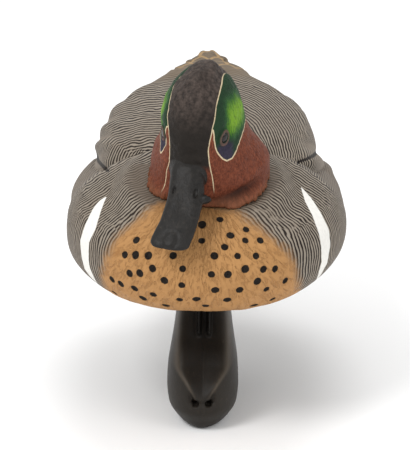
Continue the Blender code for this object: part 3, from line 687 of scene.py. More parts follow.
def body_paint():
    p = Paint("decoy_body_paint")
    breast, spot, bar, crease = p.value("breast"), p.value("spot"), p.value("bar"), p.value("crease")
    side, back, shoulder = (
        p.math("SINE", p.times(p.value(name), 2 * math.pi)) for name in ("stripe", "mantle", "shoulder")
    )
    wave = p.blend(p.value("on_mantle"), side, p.blend(p.value("on_shoulder"), back, shoulder))
    broken = p.noise(300, 3, 0.6)
    wave = p.plus(wave, p.centred(broken, 1.9))
    stripe = p.step(wave, -0.85, 0.5)
    outside_bar = p.step(bar, -0.1, 0.15)
    depth = p.times(p.value("stripe_depth"), p.step(breast, 0.1, 1.0, 1.0, 0.1))
    depth = p.times(depth, p.blend(outside_bar, 0.12, 1.0))
    stripe = p.blend(depth, 0.6, stripe)
    grey = p.ramp(
        stripe, (0.0, srgb(24, 19, 15)), (0.3, srgb(52, 44, 37)), (0.6, srgb(106, 96, 85)),
        (1.0, srgb(144, 134, 121)),
    )
    patches = p.noise(28, 4, 0.6)
    grey = p.mix(p.step(patches, 0.35, 0.75, 0.0, 0.4), grey, p.mix(0.5, grey, srgb(112, 98, 84)))
    grey = p.mix(p.times(p.value("margin"), 0.55), grey, srgb(136, 125, 112))
    brown = p.mix(p.times(p.noise(240, 3, 0.6), 0.8), srgb(92, 79, 64), srgb(130, 115, 95))
    tan = p.mix(p.noise(500, 2), srgb(150, 122, 86), srgb(176, 148, 108))
    tan_edge = p.times(p.step(p.value("feather"), 0.7, 1.15, 1.0, 0.0), p.value("tail"))
    brown = p.mix(p.times(tan_edge, 0.95), brown, tan)
    # painted shade: near-black lines in the slits between the tail's feathers
    brown = p.mix(p.step(p.value("slit"), 0.6, 1.2, 0.9, 0.0), brown, srgb(36, 29, 24))
    grey = p.mix(p.times(p.value("rump"), 0.85), grey, brown)
    grey = p.mix(p.times(p.value("near_neck"), 0.6), grey, srgb(98, 86, 74))
    strokes = p.noise(1.0, 3, 0.6, p.stretch(p.vector("flow"), 0.7, 0.26, 1.0), 0.7)
    grooves = p.step(strokes, 0.36, 0.5)
    ochre = p.ramp(
        strokes, (0.3, srgb(150, 107, 64)), (0.42, srgb(166, 122, 75)), (0.75, srgb(180, 135, 86)),
    )
    ochre = p.mix(p.step(patches, 0.3, 0.8, 0.0, 0.35), ochre, srgb(160, 118, 74))
    speckled = p.centred(p.noise(420, 3, 0.6), p.step(breast, 1.0, 0.7, 0.0, 0.5))
    colour = p.mix(p.step(p.plus(breast, speckled), 0.1, 0.9), grey, ochre)
    # painted shade: a dark line along the crease where each wing leaves the flank
    colour = p.mix(p.step(crease, 0.5, 1.05, 0.95, 0.0), colour, srgb(24, 18, 15))
    white = p.mix(p.noise(600, 2), srgb(216, 214, 208), srgb(240, 238, 233))
    colour = p.mix(p.math("SUBTRACT", 1.0, outside_bar), colour, white)
    ragged = p.plus(spot, p.centred(p.noise(900, 2), 0.5))
    dark = p.mix(p.noise(700, 2), srgb(14, 11, 9), srgb(40, 33, 27))
    colour = p.mix(p.step(ragged, -0.15, 0.2, 1.0, 0.0), colour, dark)
    colour = p.mix(p.times(p.value("belly"), 0.5), colour, srgb(96, 84, 70))
    height = p.plus(p.times(stripe, 0.7), p.times(grooves, p.times(breast, 0.6)))
    height = p.plus(height, p.times(p.noise(900, 3, 0.6), 0.16))
    normal = p.bump(height, 0.5)
    roughness = p.blend(p.noise(60, 3), 0.5, 0.68)
    return p.finish(colour, roughness, normal, Specular_IOR_Level=0.14)


# ---------------------------------------------------------------- head form

HEAD_FRONT, HEAD_REAR, HEAD_HALF = curves((
    (0.4, -29, 29, 29), (10, -31.5, 28.5, 29), (19, -34, 23.5, 27.3), (27, -35.5, 18.5, 23.6),
    (34, -35.5, 16, 21.6), (45, -33, 14.5, 19.6), (54, -28.5, 11, 16.8), (61, -22.5, 5, 12),
    (65.5, -16.5, -1.5, 7.6), (67, -12, -6.5, 3),
))
HEAD_LEAN, HEAD_EGG = 0.06, 0.14
# How far the neck and the cheeks stand to the duck's left of the CAD form, on its right side and on its left
RIGHT_SHIFT = curve_through((
    (0, 2.7), (14, 2.8), (24, 2.9), (32, 2.3), (42, -0.1), (54, 0.4), (62, 2.0), (67, 2),
))
LEFT_SHIFT = curve_through((
    (0, 3), (12, 2.4), (20, 0), (30, -1.4), (43, -2.7), (52, -4.0), (61, -5.6), (67, -3.6),
))
BILL_ROOT = np.array((3.0, -30, 28.7))
BILL_DROOP = math.radians(31)
BILL_HALF, BILL_TOP, BILL_BOTTOM = curves((
    (-8, 7.0, 1, -14), (6, 8.2, 0, -13), (18, 8.7, -1.8, -11), (31, 8.9, -2.2, -9), (41, 9.6, -1.6, -7.5),
    (46.5, 9.4, -1.6, -6.4), (49.3, 7.0, -2.2, -5.6), (50.4, 3.6, -3, -4.6),
))
BILL_BEND = curve_through(((-8, -2.3), (6, -1.6), (18, 0.5), (31, 1.3), (45, 0.1)))  # to the duck's left
BILL_POWER = 2.35  # of the superellipse that the bill's section is close to
NOSTRIL = (18.5, 5.6)  # along the bill, and to each side
HEAD_VOXEL = 0.5


def head_rings():
    height = 0.4 + 66.6 * np.sin(np.linspace(0, math.pi / 2, 120))
    turn = np.linspace(0, 2 * math.pi, 200, endpoint=False)[None, :]
    h = height[:, None]
    front, rear, half = HEAD_FRONT(h), HEAD_REAR(h), HEAD_HALF(h)
    egg = HEAD_EGG * np.minimum(h / 14, 1)
    x = half * np.sin(turn) * (1 + egg * np.cos(turn)) + HEAD_LEAN * h
    share = (1 + np.sin(turn)) / 2
    x = x + RIGHT_SHIFT(h) * (1 - share) + LEFT_SHIFT(h) * share
    y = (front + rear) / 2 + (rear - front) / 2 * np.cos(turn)
    return np.stack(np.broadcast_arrays(x, y, h), axis=2)


def from_bill(points):
    """Bill coordinates (across, forward, up) to head coordinates."""
    x, forward, up = points[..., 0], points[..., 1], points[..., 2]
    c, s = math.cos(BILL_DROOP), math.sin(BILL_DROOP)
    placed = (x + BILL_BEND(forward), -forward * c - up * s, -forward * s + up * c)
    return np.stack(placed, axis=-1) + BILL_ROOT


def to_bill(points):
    local = points - BILL_ROOT
    c, s = math.cos(BILL_DROOP), math.sin(BILL_DROOP)
    forward, up = -(local[:, 1] * c + local[:, 2] * s), local[:, 2] * c - local[:, 1] * s
    return np.stack((local[:, 0] - BILL_BEND(forward), forward, up), axis=1)


def bill_rings():
    forward = np.concatenate((np.linspace(-8, 41, 70, endpoint=False), np.linspace(41, 50.4, 40)))[:, None]
    turn = np.linspace(0, 2 * math.pi, 120, endpoint=False)[None, :]
    half, top, bottom = BILL_HALF(forward), BILL_TOP(forward), BILL_BOTTOM(forward)
    power = 0.85
    x = half * np.sign(np.sin(turn)) * np.abs(np.sin(turn)) ** power
    up = (top + bottom) / 2 + (top - bottom) / 2 * np.sign(np.cos(turn)) * np.abs(np.cos(turn)) ** power
    return from_bill(np.stack(np.broadcast_arrays(x, forward, up), axis=2))


def to_row_frame(local):
    return local @ HEAD_AXES + SEAT + HULL


def to_head_frame(points):
    return (points - SEAT - HULL) @ HEAD_AXES.T


# Edges of the paint on the head: (turn from the face in degrees, height), on its right side and on its left
BEHIND = ((135, 36), (155, 34), (180, 31), (180, 72), (0, 72))
PATCH_RIGHT = (
    (2, 46), (35, 41), (37.5, 35), (40.5, 29.5), (43.4, 25.6), (46.5, 24.4), (52, 24.6), (58.6, 26.1),
    (74, 30), (100, 34), *BEHIND,
)
PATCH_LEFT = (
    (2, 44), (30.3, 42), (31.4, 37.7), (33.5, 33.2), (37.3, 29.8), (42.9, 26.8), (49.2, 25.2), (57.7, 25.3),
    (64.8, 26.9), (74.5, 29.3), (84.7, 31.6), (99.9, 34), (112.7, 35.5), *BEHIND,
)
DEGREE = 0.35  # what one degree of turn measures on the head
CROWN_LEFT = curve_through((
    (5, 13.2), (10.9, 12.9), (17.8, 12.2), (22.8, 11.2), (27.7, 10.3), (33.2, 9.5), (41.9, 9.8), (45.9, 10.1),
    (50.8, 9.7), (55.1, 9.4), (59.2, 8.8), (61.5, 8.3), (66, 7.6),
))
CROWN_RIGHT = curve_through((
    (4.8, 12.9), (10.9, 12.1), (17.8, 11.2), (23.6, 9.9), (29.3, 10.1), (35.5, 10.4), (40.5, 11.6),
    (44.6, 13.3), (49, 14), (53, 14.5), (56.1, 14.8), (61, 13), (66, 8),
))
CROWN_REAR = curve_through(((24, -2), (31, 2.5), (40, 6), (50, 7.5), (60, 7.5), (66, 7)))
CROWN_FOOT = (21, 26)  # heights over which the dark crown gives way to the cheeks below the bill
# Each eye: turn from the face in degrees and height
EYES = {"eye_right": (-50, 34.5), "eye_left": (49.7, 36.2)}
EYE_SIZE = (1.75, 2.4)  # half its width and half its height
EYE_TILT = math.radians(30)
EYE_OVERLAP, EYE_DOME = 1.12, 1.15  # the glass runs under the lids, and stands this far out
RIM_RADIUS = 35.2  # the neck's rim reaches this far at its front
RIM_CLEAR = 32.6  # and this far elsewhere


def head_turn(local):
    """How far round from the face each point of the head lies, in degrees, positive on the duck's left."""
    return np.degrees(np.arctan2(local[:, 0] - HEAD_LEAN * local[:, 2], -(local[:, 1] + 10)))


def turned(first, second, angle):
    """Two directions, or the places along them, turned towards each other by an angle."""
    c, s = math.cos(angle), math.sin(angle)
    return first * c - second * s, first * s + second * c


def build_head():
    rings, bill = head_rings(), bill_rings()
    made = make_mesh("head_paintwork", to_row_frame(with_ends(rings)), grid_faces(*rings.shape[:2]))
    other = make_mesh("bill", to_row_frame(with_ends(bill)), grid_faces(*bill.shape[:2]))
    whole = bmesh.new()
    whole.from_mesh(made.data)
    whole.from_mesh(other.data)
    whole.to_mesh(made.data)
    whole.free()
    bpy.data.objects.remove(other)
    made = remeshed(made, HEAD_VOXEL)

    local = to_head_frame(mesh_points(made))
    join = hill(np.clip(to_bill(local)[:, 1] - 2, -20, 20), 7) * (local[:, 1] < -26)
    crown = smoothstep(58, 64, local[:, 2])
    local = relax(made, local, np.clip(0.12 + join + 0.5 * crown, 0, 0.9), 12)
    local = relax(made, local, np.full(len(local), 0.4), 2)
    move_points(made, to_row_frame(local))

    local = to_head_frame(mesh_points(made))
    out = mesh_normals(made) @ HEAD_AXES.T
    beak_x, beak_y, beak_z = to_bill(local).T
    h = local[:, 2]
    x = local[:, 0] - HEAD_LEAN * h
    signed_turn = head_turn(local)
    turn = np.abs(signed_turn)
    left = x > 0
    lift = np.zeros(len(local))

    # the neck's lower edge: a flared lip of short feathers, deeper at the left front
    around = np.arctan2(local[:, 1], local[:, 0])
    bearing = np.degrees(around)
    ring = np.stack((np.cos(around) * 30, np.sin(around) * 30, h * 0.22), axis=1)
    fringe = 1 - smoothstep(1, 8, h)
    on_neck = smoothstep(12, 8, beak_y)
    lift += on_neck * fringe * (0.5 + 1.3 * noise(ring, 1.5, 31) + 0.7 * noise(ring, 4, 32))
    fold_turn = hill(bearing + 42, 26)
    fold_height = h - 3 - 3.5 * smoothstep(-60, -15, bearing)
    lift += fold_turn * (1.4 * hill(fold_height + 2.5, 2.5) - 1.9 * hill(fold_height - 2, 2.4))
    front = hill(bearing + 106, 38)
    lift += 3.2 * front * on_neck * (1 - smoothstep(0, 9, h))
    jowl = hill(bearing + 38, 26)
    lift += 2.2 * jowl * on_neck * (1 - smoothstep(1, 9, h))

    # the bill: nostrils, nail, edge groove and a dished top
    bottom, top = BILL_BOTTOM(beak_y), BILL_TOP(beak_y)
    is_bill = smoothstep(3, 9, beak_y) * smoothstep(-5, -2, beak_z - bottom)
    half = BILL_HALF(beak_y)
    top_side = beak_z > (top + bottom) / 2
    wide = np.where(beak_x > 0, 1.25, 0.9)
    nostril = np.hypot((beak_y - NOSTRIL[0]) / (2.3 * wide), (np.abs(beak_x) - NOSTRIL[1]) / (1.0 * wide))
    lift -= 1.3 * (1 - smoothstep(0.5, 1.15, nostril)) * top_side * is_bill
    dish = hill(beak_x, 4.5) * hill(beak_y - 29, 9)
    lift -= 0.9 * dish * top_side
    tip = hill(beak_x, 4) * hill(beak_y - 40, 3)
    lift += 0.8 * tip * top_side
    nail = np.hypot((beak_y - 46) / 4.5, beak_x / 3.4)
    lift += top_side * is_bill * (0.6 * (1 - smoothstep(0.5, 0.95, nail)) - 0.25 * hill(nail - 1.1, 0.16))
    gape = bottom + (top - bottom) * 0.30
    edge = hill(beak_z - gape, 0.45) * (np.abs(beak_x) > half * 0.7) * smoothstep(14, 20, beak_y)
    lift -= 0.7 * edge
    lift += 0.22 * noise(local, 4.5, 33) * is_bill
    # a knob where the bill's side meets the cheek, which the paint makes near black as painted shadow
    corner = np.hypot((beak_y - 19.5) / 3.2, (beak_x - half - 1.2) / 1.9)
    corner = (1 - smoothstep(0.5, 1.1, corner)) * (beak_z < top - 1.5)
    lift += 4.5 * corner

    # the crown's pebbled feathers and the cheeks' short strokes
    side = np.where(left, CROWN_LEFT(h), CROWN_RIGHT(h))
    rear = smoothstep(-14, 0, local[:, 1])
    crown_edge = np.abs(x) - (side + (CROWN_REAR(h) - side) * rear)
    lift += (0.16 * noise(local, 1.5, 34) + 0.3 * noise(local, 4, 35)) * (1 - is_bill)
    lift -= 0.4 * hill(crown_edge, 0.7) * (1 - is_bill) * smoothstep(8, 20, h)
    lid = np.full(len(local), 99.0)
    for eye_turn, eye_height in EYES.values():
        aside, above = (signed_turn - eye_turn) * DEGREE, h - eye_height
        aside, above = turned(aside, above, EYE_TILT * np.sign(eye_turn))
        lid = np.minimum(lid, np.hypot(aside / EYE_SIZE[0], above / EYE_SIZE[1]))
    lift += 0.5 * hill(lid - 1.35, 0.25) - 0.7 * hill(lid - 2.2, 0.6)
    lift -= 0.9 * (1 - smoothstep(0.8, 1.1, lid))
    local = local + out * lift[:, None]

    # nothing hangs below the seat or reaches past its facing
    local[:, 2] = np.maximum(local[:, 2], 0.35)
    radius = np.hypot(local[:, 0], local[:, 1])
    allowed = RIM_CLEAR + (RIM_RADIUS - RIM_CLEAR) * np.maximum(front, jowl)
    inward = np.where((h < 12) & (beak_y < 12), np.minimum(1, allowed / radius), 1)
    local[:, :2] *= inward[:, None]
    move_points(made, to_row_frame(local))

    # paint
    at = np.stack((turn * DEGREE, h), axis=1)
    outlines = [np.array([(a * DEGREE, b) for a, b in patch]) for patch in (PATCH_LEFT, PATCH_RIGHT)]
    patch = np.where(left, *(polygon_distance(at, outline) for outline in outlines))
    from_middle = np.abs(beak_z - (top + bottom) / 2) / ((top - bottom) / 2)
    ratio = (np.abs(beak_x) / half) ** BILL_POWER + from_middle**BILL_POWER
    bill_edge = np.where(beak_y > 2, (ratio - 1.45) * 3, 9)
    bill_edge = np.where((beak_y > 12) & (beak_z > bottom - 3), -3, bill_edge)
    lime = smoothstep(44, 74, turn) * smoothstep(29, 41, h - 0.06 * (turn - 60)) * (1 - smoothstep(43, 57, h))
    lime *= 1 - smoothstep(108, 140, turn)
    violet = (1 - smoothstep(31.5, 35.5, h)) * (1 - smoothstep(57, 68, turn)) * smoothstep(33, 40, turn)
    # where the painted shadow lies in the hollow just above the neck's lip
    shade = fold_turn * hill(fold_height - 2, 2.4)
    flow = np.stack((turn * DEGREE, h, x * 0.1), axis=1)
    line_end = smoothstep(0, 5, h - np.where(left, 8, 3)) * (1 - smoothstep(-4, 4, local[:, 1]))
    add_values(
        made, patch=patch, crown_edge=crown_edge, bill_edge=bill_edge, lime=lime, violet=violet, fold=shade,
        height=h, flow=flow, line_end=line_end, forward=beak_y, lid=lid, corner=corner,
    )
    return made


def build_eye(name, head):
    """A low polished dome on the sculpted head, in the hollow between its lids."""
    eye_turn, eye_height = EYES[name]
    local = to_head_frame(mesh_points(head))
    miss = np.hypot((head_turn(local) - eye_turn) * DEGREE, local[:, 2] - eye_height)
    miss += np.where(local[:, 1] < -8, 0, 99)
    near = miss < 2
    centre = local[near].mean(axis=0)
    out = (mesh_normals(head) @ HEAD_AXES.T)[near].mean(axis=0)
    out /= np.linalg.norm(out)
    upward = np.array((0, 0, 1.0)) - out * out[2]
    upward /= np.linalg.norm(upward)
    across = np.cross(upward, out)
    across, upward = turned(across, upward, EYE_TILT * np.sign(eye_turn))
    lift = np.linspace(-math.pi / 2, math.pi / 2, 18)[1:-1, None]
    around = np.linspace(0, 2 * math.pi, 36, endpoint=False)[None, :]
    width, tall = EYE_SIZE
    grid = (
        (np.cos(lift) * np.cos(around))[..., None] * width * EYE_OVERLAP * across
        + (np.cos(lift) * np.sin(around))[..., None] * tall * EYE_OVERLAP * upward
        + (np.sin(lift) * np.ones_like(around))[..., None] * EYE_DOME * out
    )
    made = make_mesh(name + "_glass", to_row_frame(with_ends(grid) + centre), grid_faces(*grid.shape[:2]))
    stand_in(made, "head", name)
    return made


def head_paint():
    p = Paint("decoy_head_paint")
    patch, crown_edge, bill_edge = p.value("patch"), p.value("crown_edge"), p.value("bill_edge")
    height, lid = p.value("height"), p.value("lid")
    flow = p.vector("flow")
    hair = p.noise(1.0, 4, 0.65, p.stretch(flow, 1.5, 0.5, 1.0), 0.8)
    streaks = p.noise(1.0, 3, 0.6, p.stretch(flow, 1.9, 0.28, 1.0), 0.4)
    flecks = p.noise(1150, 3, 0.6)
    rust = p.ramp(
        hair, (0.28, srgb(70, 34, 22)), (0.5, srgb(108, 56, 38)), (0.75, srgb(138, 78, 55)),
    )
    rust = p.mix(p.step(flecks, 0.42, 0.7, 0.0, 0.5), rust, srgb(70, 37, 27))
    # painted shadow: dark rust in the hollow above the neck's lip
    rust = p.mix(p.times(p.value("fold"), 0.85), rust, srgb(38, 23, 17))
    # painted highlight: lighter rust on the lowest few millimetres of the neck, along its fringe
    rust = p.mix(p.step(height, 7, 0.5, 0.0, 0.4), rust, srgb(142, 98, 70))
    uneven = p.centred(streaks, 1.3)
    green = p.ramp(
        p.plus(p.value("lime"), p.times(uneven, p.step(p.value("lime"), 0.0, 0.6, 0.35, 0.8))),
        (0.1, srgb(30, 54, 34)), (0.35, srgb(42, 80, 42)), (0.62, srgb(76, 118, 36)),
        (0.95, srgb(112, 152, 40)),
    )
    violet = p.mix(hair, srgb(36, 33, 48), srgb(62, 52, 74))
    green = p.mix(p.times(p.value("violet"), 0.9), green, violet)
    green = p.mix(p.step(p.noise(620, 3, 0.7), 0.5, 0.7, 0.0, 0.5), green, srgb(22, 36, 26))
    colour = p.mix(p.step(patch, -0.15, 0.15), green, rust)
    pebble = p.noise(420, 4, 0.65)
    crown = p.mix(p.step(pebble, 0.3, 0.78), srgb(43, 37, 34), srgb(86, 75, 69))
    crown = p.mix(p.step(height, 60, 38), crown, p.mix(pebble, srgb(22, 19, 16), srgb(42, 37, 33)))
    on_crown = p.times(p.step(crown_edge, -0.12, 0.12, 1.0, 0.0), p.step(height, *CROWN_FOOT))
    colour = p.mix(on_crown, colour, crown)
    cream = p.mix(flecks, srgb(176, 156, 122), srgb(220, 204, 172))
    wavering = p.centred(p.noise(160, 2), 0.5)
    around_patch = p.math("ABSOLUTE", p.plus(patch, wavering))
    around_patch = p.step(around_patch, 0.22, 0.4, 1.0, 0.0)
    beside_crown = p.math("ABSOLUTE", p.plus(crown_edge, wavering))
    beside_crown = p.step(beside_crown, 0.13, 0.28, 1.0, 0.0)
    around_patch = p.times(around_patch, p.step(crown_edge, 0.0, 0.3))
    around_patch = p.times(around_patch, p.step(height, 42, 46, 1.0, 0.0))
    line = p.math("MAXIMUM", p.times(beside_crown, p.value("line_end")), around_patch)
    line = p.times(line, p.step(flecks, 0.25, 0.42, 0.25, 1.0))
    colour = p.mix(line, colour, cream)
    rim = p.times(p.step(lid, 1.0, 1.15), p.step(lid, 1.75, 1.45))
    colour = p.mix(p.times(rim, 0.75), colour, p.mix(flecks, srgb(66, 44, 40), srgb(128, 100, 92)))
    scuff = p.noise(1.0, 4, 0.65, p.stretch(p.place(), 500, 160, 500))
    bill = p.ramp(scuff, (0.3, srgb(15, 13, 11)), (0.55, srgb(25, 22, 19)), (0.8, srgb(50, 45, 41)))
    bill = p.mix(p.step(p.value("forward"), 39, 47, 0.0, 0.7), bill, srgb(26, 24, 22))
    bill = p.mix(p.times(p.step(p.value("forward"), 14, 4), 0.5), bill, srgb(30, 27, 24))
    on_bill = p.step(bill_edge, -0.3, 0.3, 1.0, 0.0)
    colour = p.mix(on_bill, colour, bill)
    # painted shadow: near black at the mouth's corner, between the bill's edge and the cheek
    colour = p.mix(p.times(p.value("corner"), 0.95), colour, srgb(9, 7, 6))
    feathers = p.plus(p.times(hair, 0.6), p.times(p.noise(800, 3, 0.6), 0.5))
    relief = p.blend(on_bill, feathers, p.times(scuff, 0.9))
    relief = p.blend(on_crown, relief, p.times(pebble, 1.3))
    normal = p.bump(relief, 0.5)
    roughness = p.blend(on_bill, p.blend(pebble, 0.5, 0.66), p.blend(scuff, 0.34, 0.58))
    return p.finish(colour, roughness, normal, Specular_IOR_Level=p.blend(on_bill, 0.12, 0.26))


# ---------------------------------------------------------------- keel form

KEEL_FRONT, KEEL_BACK, KEEL_HALF = curves((
    (-65, 41, 98, 8), (-63.5, 38, 103, 11.5), (-60, 35.5, 110, 14.6), (-54, 32, 120, 17.2),
    (-45, 31, 132, 18), (-36, 34, 143, 17.6), (-28, 39, 152, 16.2), (-20, 45, 162, 14.8),
    (-10, 50, 175, 13.6), (-2.1, 52, 186, 13.2),
))
KEEL_NOSE, KEEL_TAIL_HALF = 24, 2.5
# The trough in the front above the bulb: (height, depth, half width)
TROUGH_DEPTH, TROUGH_EDGE = curves((
    (-46, 0, 3), (-40, 4, 6.5), (-32, 8.5, 11.5), (-20, 10.5, 11.5), (-2.1, 10.5, 11),
))
TROUGH_ROUND = 1.12  # the trough's rounding reaches this many times as far out as its edge
KEEL_RIBS = ((-2.0, 0.75), (3.2, 0.8))  # to the duck's left, and half thickness
TIE_Y, TIE_Z, TIE_HOLE = 34.5, -49, 1.8
FLANGE = 3  # thickness
KEEL_VOXEL = 0.55
TIE_PIT, TIE_PIT_DEPTH = 3.3, 6.5


def keel_flange():
    """The plate at the keel's top, with the gasket's outline, that the screws hold against the hull."""
    (left, front, _), (right, back, _) = (np.array(corner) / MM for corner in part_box("keel_gasket"))
    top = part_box("keel_shell")[1].z / MM
    outline = ((left, front), (right, front), (right, back), (left, back))
    corners = [(x, y, z) for z in (top - FLANGE, top) for x, y in outline]
    faces = [(3, 2, 1, 0), (4, 5, 6, 7)] + [(k, (k + 1) % 4, (k + 1) % 4 + 4, k + 4) for k in range(4)]
    plate = remeshed(make_mesh("keel_flange", np.array(corners), faces), KEEL_VOXEL)
    points = mesh_points(plate)
    move_points(plate, relax(plate, points, np.full(len(points), 0.4), 6))
    return plate


def combine(made, other, operation):
    """Joins another object to this one or cuts it out of it, and removes the other."""
    step = made.modifiers.new("combine", "BOOLEAN")
    step.operation, step.solver, step.object = operation, "EXACT", other
    graph = bpy.context.evaluated_depsgraph_get()
    mesh = bpy.data.meshes.new_from_object(made.evaluated_get(graph))
    made.modifiers.clear()
    made.data = mesh
    bpy.data.objects.remove(other)


def build_keel():
    height = np.linspace(-65, -3.6, 150)
    share = np.linspace(0, 1, 150)
    h = height[:, None]
    front, back, full = KEEL_FRONT(h), KEEL_BACK(h), KEEL_HALF(h)
    eased = (1 - np.cos(math.pi * share)) / 2
    y = front + (back - front) * (0.35 * share + 0.65 * eased)[None, :]
    run = np.clip((y - front - KEEL_NOSE) / (back - front - KEEL_NOSE), 0, 1)
    taper = 1 - run**2 * (1 - KEEL_TAIL_HALF / full)
    half = full * round_end(y - front, KEEL_NOSE) * taper * round_end(back - y, 2.5)
    ring_y = np.concatenate((y, y[:, -2:0:-1]), axis=1)
    ring_x = np.concatenate((half, -half[:, -2:0:-1]), axis=1)
    grid = np.stack((ring_x, ring_y, np.broadcast_to(h, ring_x.shape)), axis=2)
    points = with_ends(grid)
    made = make_mesh("keel_moulding", points + HULL, grid_faces(*grid.shape[:2]))
    made = remeshed(made, KEEL_VOXEL)
    points = mesh_points(made) - HULL
    points = relax(made, points, np.full(len(points), 0.4), 6)
    x, y, z = points.T
    side = np.abs(x)

    # a trough down the front above the bulb, and two thin ribs in its upper part
    edge = TROUGH_EDGE(z)
    hollow = np.maximum(1 - (side / (edge * TROUGH_ROUND)) ** 2, 0) ** 1.8
    from_front = y - KEEL_FRONT(z)
    at_front = smoothstep(26, 14, from_front)
    y = y + TROUGH_DEPTH(z) * hollow * at_front
    for place, width in KEEL_RIBS:
        rib = hill(x - place, width) * smoothstep(-22, -18, z) * smoothstep(14, 8, from_front)
        y = y - 4.5 * rib

    # the line tie: a pit each side of a thin web, below a funnel and above two lips
    deep = np.exp(-(((side - TIE_PIT) / 1.3) ** 4)) * np.exp(-(((z - TIE_Z) / 1.5) ** 4))
    above = hill(side - 4.6 - 0.28 * (z - TIE_Z), 1.5) * smoothstep(9, 2, z - TIE_Z) * (z > TIE_Z)
    y = y + (TIE_PIT_DEPTH * deep + 2.2 * above) * smoothstep(12, 6, from_front)
    cleft = hill(side, 2.6) * hill(z - TIE_Z, 1.6)
    y = y + 1.3 * cleft * at_front
    points = np.stack((x, y, z), axis=1)
    move_points(made, points + HULL)

    hole = bpy.data.meshes.new("tie_hole")
    shape = bmesh.new()
    centre = Matrix.Translation(Vector((np.array((0, TIE_Y, TIE_Z)) + HULL) * MM))
    bmesh.ops.create_cone(
        shape, cap_ends=True, segments=40, radius1=TIE_HOLE * MM, radius2=TIE_HOLE * MM, depth=8 * MM,
        matrix=centre @ Matrix.Rotation(math.pi / 2, 4, "Y"),
    )
    shape.to_mesh(hole)
    shape.free()
    cutter = bpy.data.objects.new("tie_hole", hole)
    link(cutter)
    combine(made, cutter, "DIFFERENCE")
    combine(made, keel_flange(), "UNION")
    points = mesh_points(made) - HULL
    parting = 1 - smoothstep(0.15, 0.5, np.abs(points[:, 0]))
    # masks for the painted shade in the upper hollow and in the trough, and for the painted highlight along
    # the trough's ridges
    recess = hill(points[:, 0] - 0.6, 2.4) * smoothstep(-26, -16, points[:, 2]) * (points[:, 1] < 74)
    level = points[:, 2]
    across = np.abs(points[:, 0]) / (TROUGH_EDGE(level) * TROUGH_ROUND)
    fronted = smoothstep(26, 14, points[:, 1] - KEEL_FRONT(level) - TROUGH_DEPTH(level))
    fronted *= smoothstep(-48, -42, level)
    trough = (1 - smoothstep(0.45, 0.95, across)) * fronted
    ridge = hill(across - 1.0, 0.13) * fronted
    add_values(made, parting=parting, recess=recess, trough=trough, ridge=ridge)
    return made


def black_plastic(name, scale=1.0):
    """Satin black moulded plastic with dusty scuffs."""
    p = Paint(name)
    dust = p.noise(22 * scale, 6, 0.65)
    scratches = p.noise(1.0, 5, 0.7, p.stretch(p.place(), 700, 90, 260))
    fine = p.noise(1400, 2, 0.5)
    colour = p.mix(dust, srgb(26, 23, 20), srgb(48, 43, 37))
    colour = p.mix(p.step(scratches, 0.58, 0.78, 0.0, 0.5), colour, srgb(84, 76, 66))
    height = p.plus(p.times(fine, 0.3), p.times(scratches, 0.4))
    roughness = p.blend(dust, 0.36, 0.58)
    return p, colour, roughness, height


def keel_plastic():
    p, colour, roughness, height = black_plastic("decoy_keel_plastic")
    # painted shade: darker inside the trough above the bulb
    colour = p.mix(p.times(p.value("trough"), 0.55), colour, srgb(16, 14, 12))
    # painted highlight: lighter along the trough's ridges
    colour = p.mix(p.times(p.value("ridge"), 0.55), colour, srgb(86, 77, 66))
    # painted shade: darker in the hollow between the keel's two upper ribs
    colour = p.mix(p.times(p.value("recess"), 0.75), colour, srgb(20, 19, 18))
    height = p.math("SUBTRACT", height, p.times(p.value("parting"), 0.7))
    return p.finish(colour, roughness, p.bump(height, 0.25), Specular_IOR_Level=0.17)


def plain_plastic():
    p, colour, roughness, height = black_plastic("decoy_fitting_plastic", 2.0)
    return p.finish(colour, roughness, p.bump(height, 0.12), Specular_IOR_Level=0.25)


# ---------------------------------------------------------------- materials of the CAD pieces that stay


def eye_gloss():
    p = Paint("decoy_eye_gloss")
    mottle = p.noise(900, 3)
    colour = p.mix(mottle, srgb(8, 6, 5), srgb(24, 16, 12))
    roughness, normal = p.blend(mottle, 0.1, 0.2), p.bump(p.noise(500, 2), 0.05)
    return p.finish(colour, roughness, normal, Coat_Weight=0.2, Specular_IOR_Level=0.3)


def rubber():
    p = Paint("decoy_rubber")
    dust = p.noise(70, 5, 0.6)
    colour = p.mix(p.step(dust, 0.4, 0.75), srgb(34, 33, 32), srgb(66, 63, 59))
    return p.finish(colour, p.blend(dust, 0.7, 0.9), p.bump(p.noise(1600, 3), 0.1))


def screw_steel():
    p = Paint("decoy_screw_steel")
    wear = p.noise(260, 4, 0.6)
    colour = p.mix(wear, srgb(150, 148, 142), srgb(196, 194, 188))
    return p.finish(colour, p.blend(wear, 0.24, 0.46), p.bump(p.noise(1800, 2), 0.04), Metallic=1.0)


def cement():
    p = Paint("decoy_ballast_cement")
    grain = p.noise(420, 6, 0.7)
    pits = p.step(p.cells(330), 0.08, 0.26)
    colour = p.mix(grain, srgb(112, 110, 104), srgb(168, 165, 156))
    height = p.plus(p.times(grain, 0.5), p.times(pits, 0.6))
    return p.finish(colour, 0.92, p.bump(height, 0.5))


# ---------------------------------------------------------------- assembly

body = build_body()
dress(body, body_paint())
stand_in(body, "hull", "body_shell")

head = build_head()
dress(head, head_paint())
stand_in(head, "head", "head_shell")
eyes = [build_eye(name, head) for name in EYES]

keel = build_keel()
dress(keel, keel_plastic())
stand_in(keel, "hull", "keel_shell")

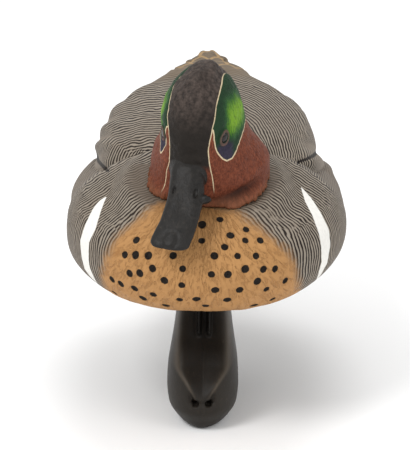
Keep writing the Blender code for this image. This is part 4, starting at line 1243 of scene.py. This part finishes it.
FINISHES = {
    "eye": eye_gloss(), "black": plain_plastic(), "rubber": rubber(), "screw": screw_steel(),
    "cement": cement(),
}
NODE_FINISH = {
    "neck_socket": "black", "neck_stem": "black", "swivel_ring": "black",
    "keel_gasket": "rubber", "drain_plug": "rubber", "ballast": "cement",
}
for eye in eyes:
    dress(eye, FINISHES["eye"])
for name, node in frame["nodes"].items():
    if name in NODE_FINISH or "screw" in name:
        dress(node, FINISHES[NODE_FINISH.get(name, "screw")])

# ---------------------------------------------------------------- floor, light and camera


def floor_material():
    p = Paint("pale_floor")
    tone = p.mix(p.noise(3, 3), (0.96, 0.96, 0.96, 1), (0.99, 0.99, 0.99, 1))
    return p.finish(tone, 0.9, Specular_IOR_Level=0.1)


bpy.ops.mesh.primitive_plane_add(size=14, location=(0, 0, 0))
floor = bpy.context.object
floor.name = "floor"
dress(floor, floor_material())

world = bpy.data.worlds.new("studio")
world.use_nodes = True
world.node_tree.nodes["Background"].inputs["Color"].default_value = (1, 1, 1, 1)
world.node_tree.nodes["Background"].inputs["Strength"].default_value = 0.82
bpy.context.scene.world = world


def area_light(name, place, target, size, power):
    light = bpy.data.lights.new(name, "AREA")
    light.shape, light.size, light.energy = "DISK", size, power
    made = bpy.data.objects.new(name, light)
    link(made)
    made.location = place
    made.rotation_euler = (Vector(target) - Vector(place)).to_track_quat("-Z", "Y").to_euler()


AIM = (0, 0.05, 0.1)
area_light("key", (-1.0, -1.1, 1.7), AIM, 0.8, 20)
area_light("fill", (1.3, -1.0, 1.0), AIM, 1.1, 5)
area_light("top", (0.1, 0.7, 2.0), AIM, 1.0, 10)

VIEW_TARGET = Vector((0, 51, 76)) * MM
VIEW_DISTANCE = 1.1
VIEW_TURN, VIEW_LIFT, VIEW_ROLL = math.radians(-0.8), math.radians(16.55), math.radians(0.2)
VIEW_LENS = 166.36
VIEW_SHIFT = 13.1 / 450

sine, cosine = math.sin(VIEW_TURN), math.cos(VIEW_TURN)
ahead = Vector((sine * math.cos(VIEW_LIFT), cosine * math.cos(VIEW_LIFT), -math.sin(VIEW_LIFT)))
level = Vector((cosine, -sine, 0))
rising = level.cross(ahead)
across = level * math.cos(VIEW_ROLL) + rising * math.sin(VIEW_ROLL)
upward = rising * math.cos(VIEW_ROLL) - level * math.sin(VIEW_ROLL)
camera_data = bpy.data.cameras.new("camera")
camera = bpy.data.objects.new("camera", camera_data)
link(camera)
camera.matrix_world = Matrix.Translation(VIEW_TARGET - ahead * VIEW_DISTANCE) @ Matrix(
    (across, upward, -ahead)
).transposed().to_4x4()
camera_data.lens, camera_data.sensor_width, camera_data.shift_y = VIEW_LENS, 36, VIEW_SHIFT
bpy.context.scene.camera = camera
bpy.context.scene.view_settings.view_transform = "Standard"
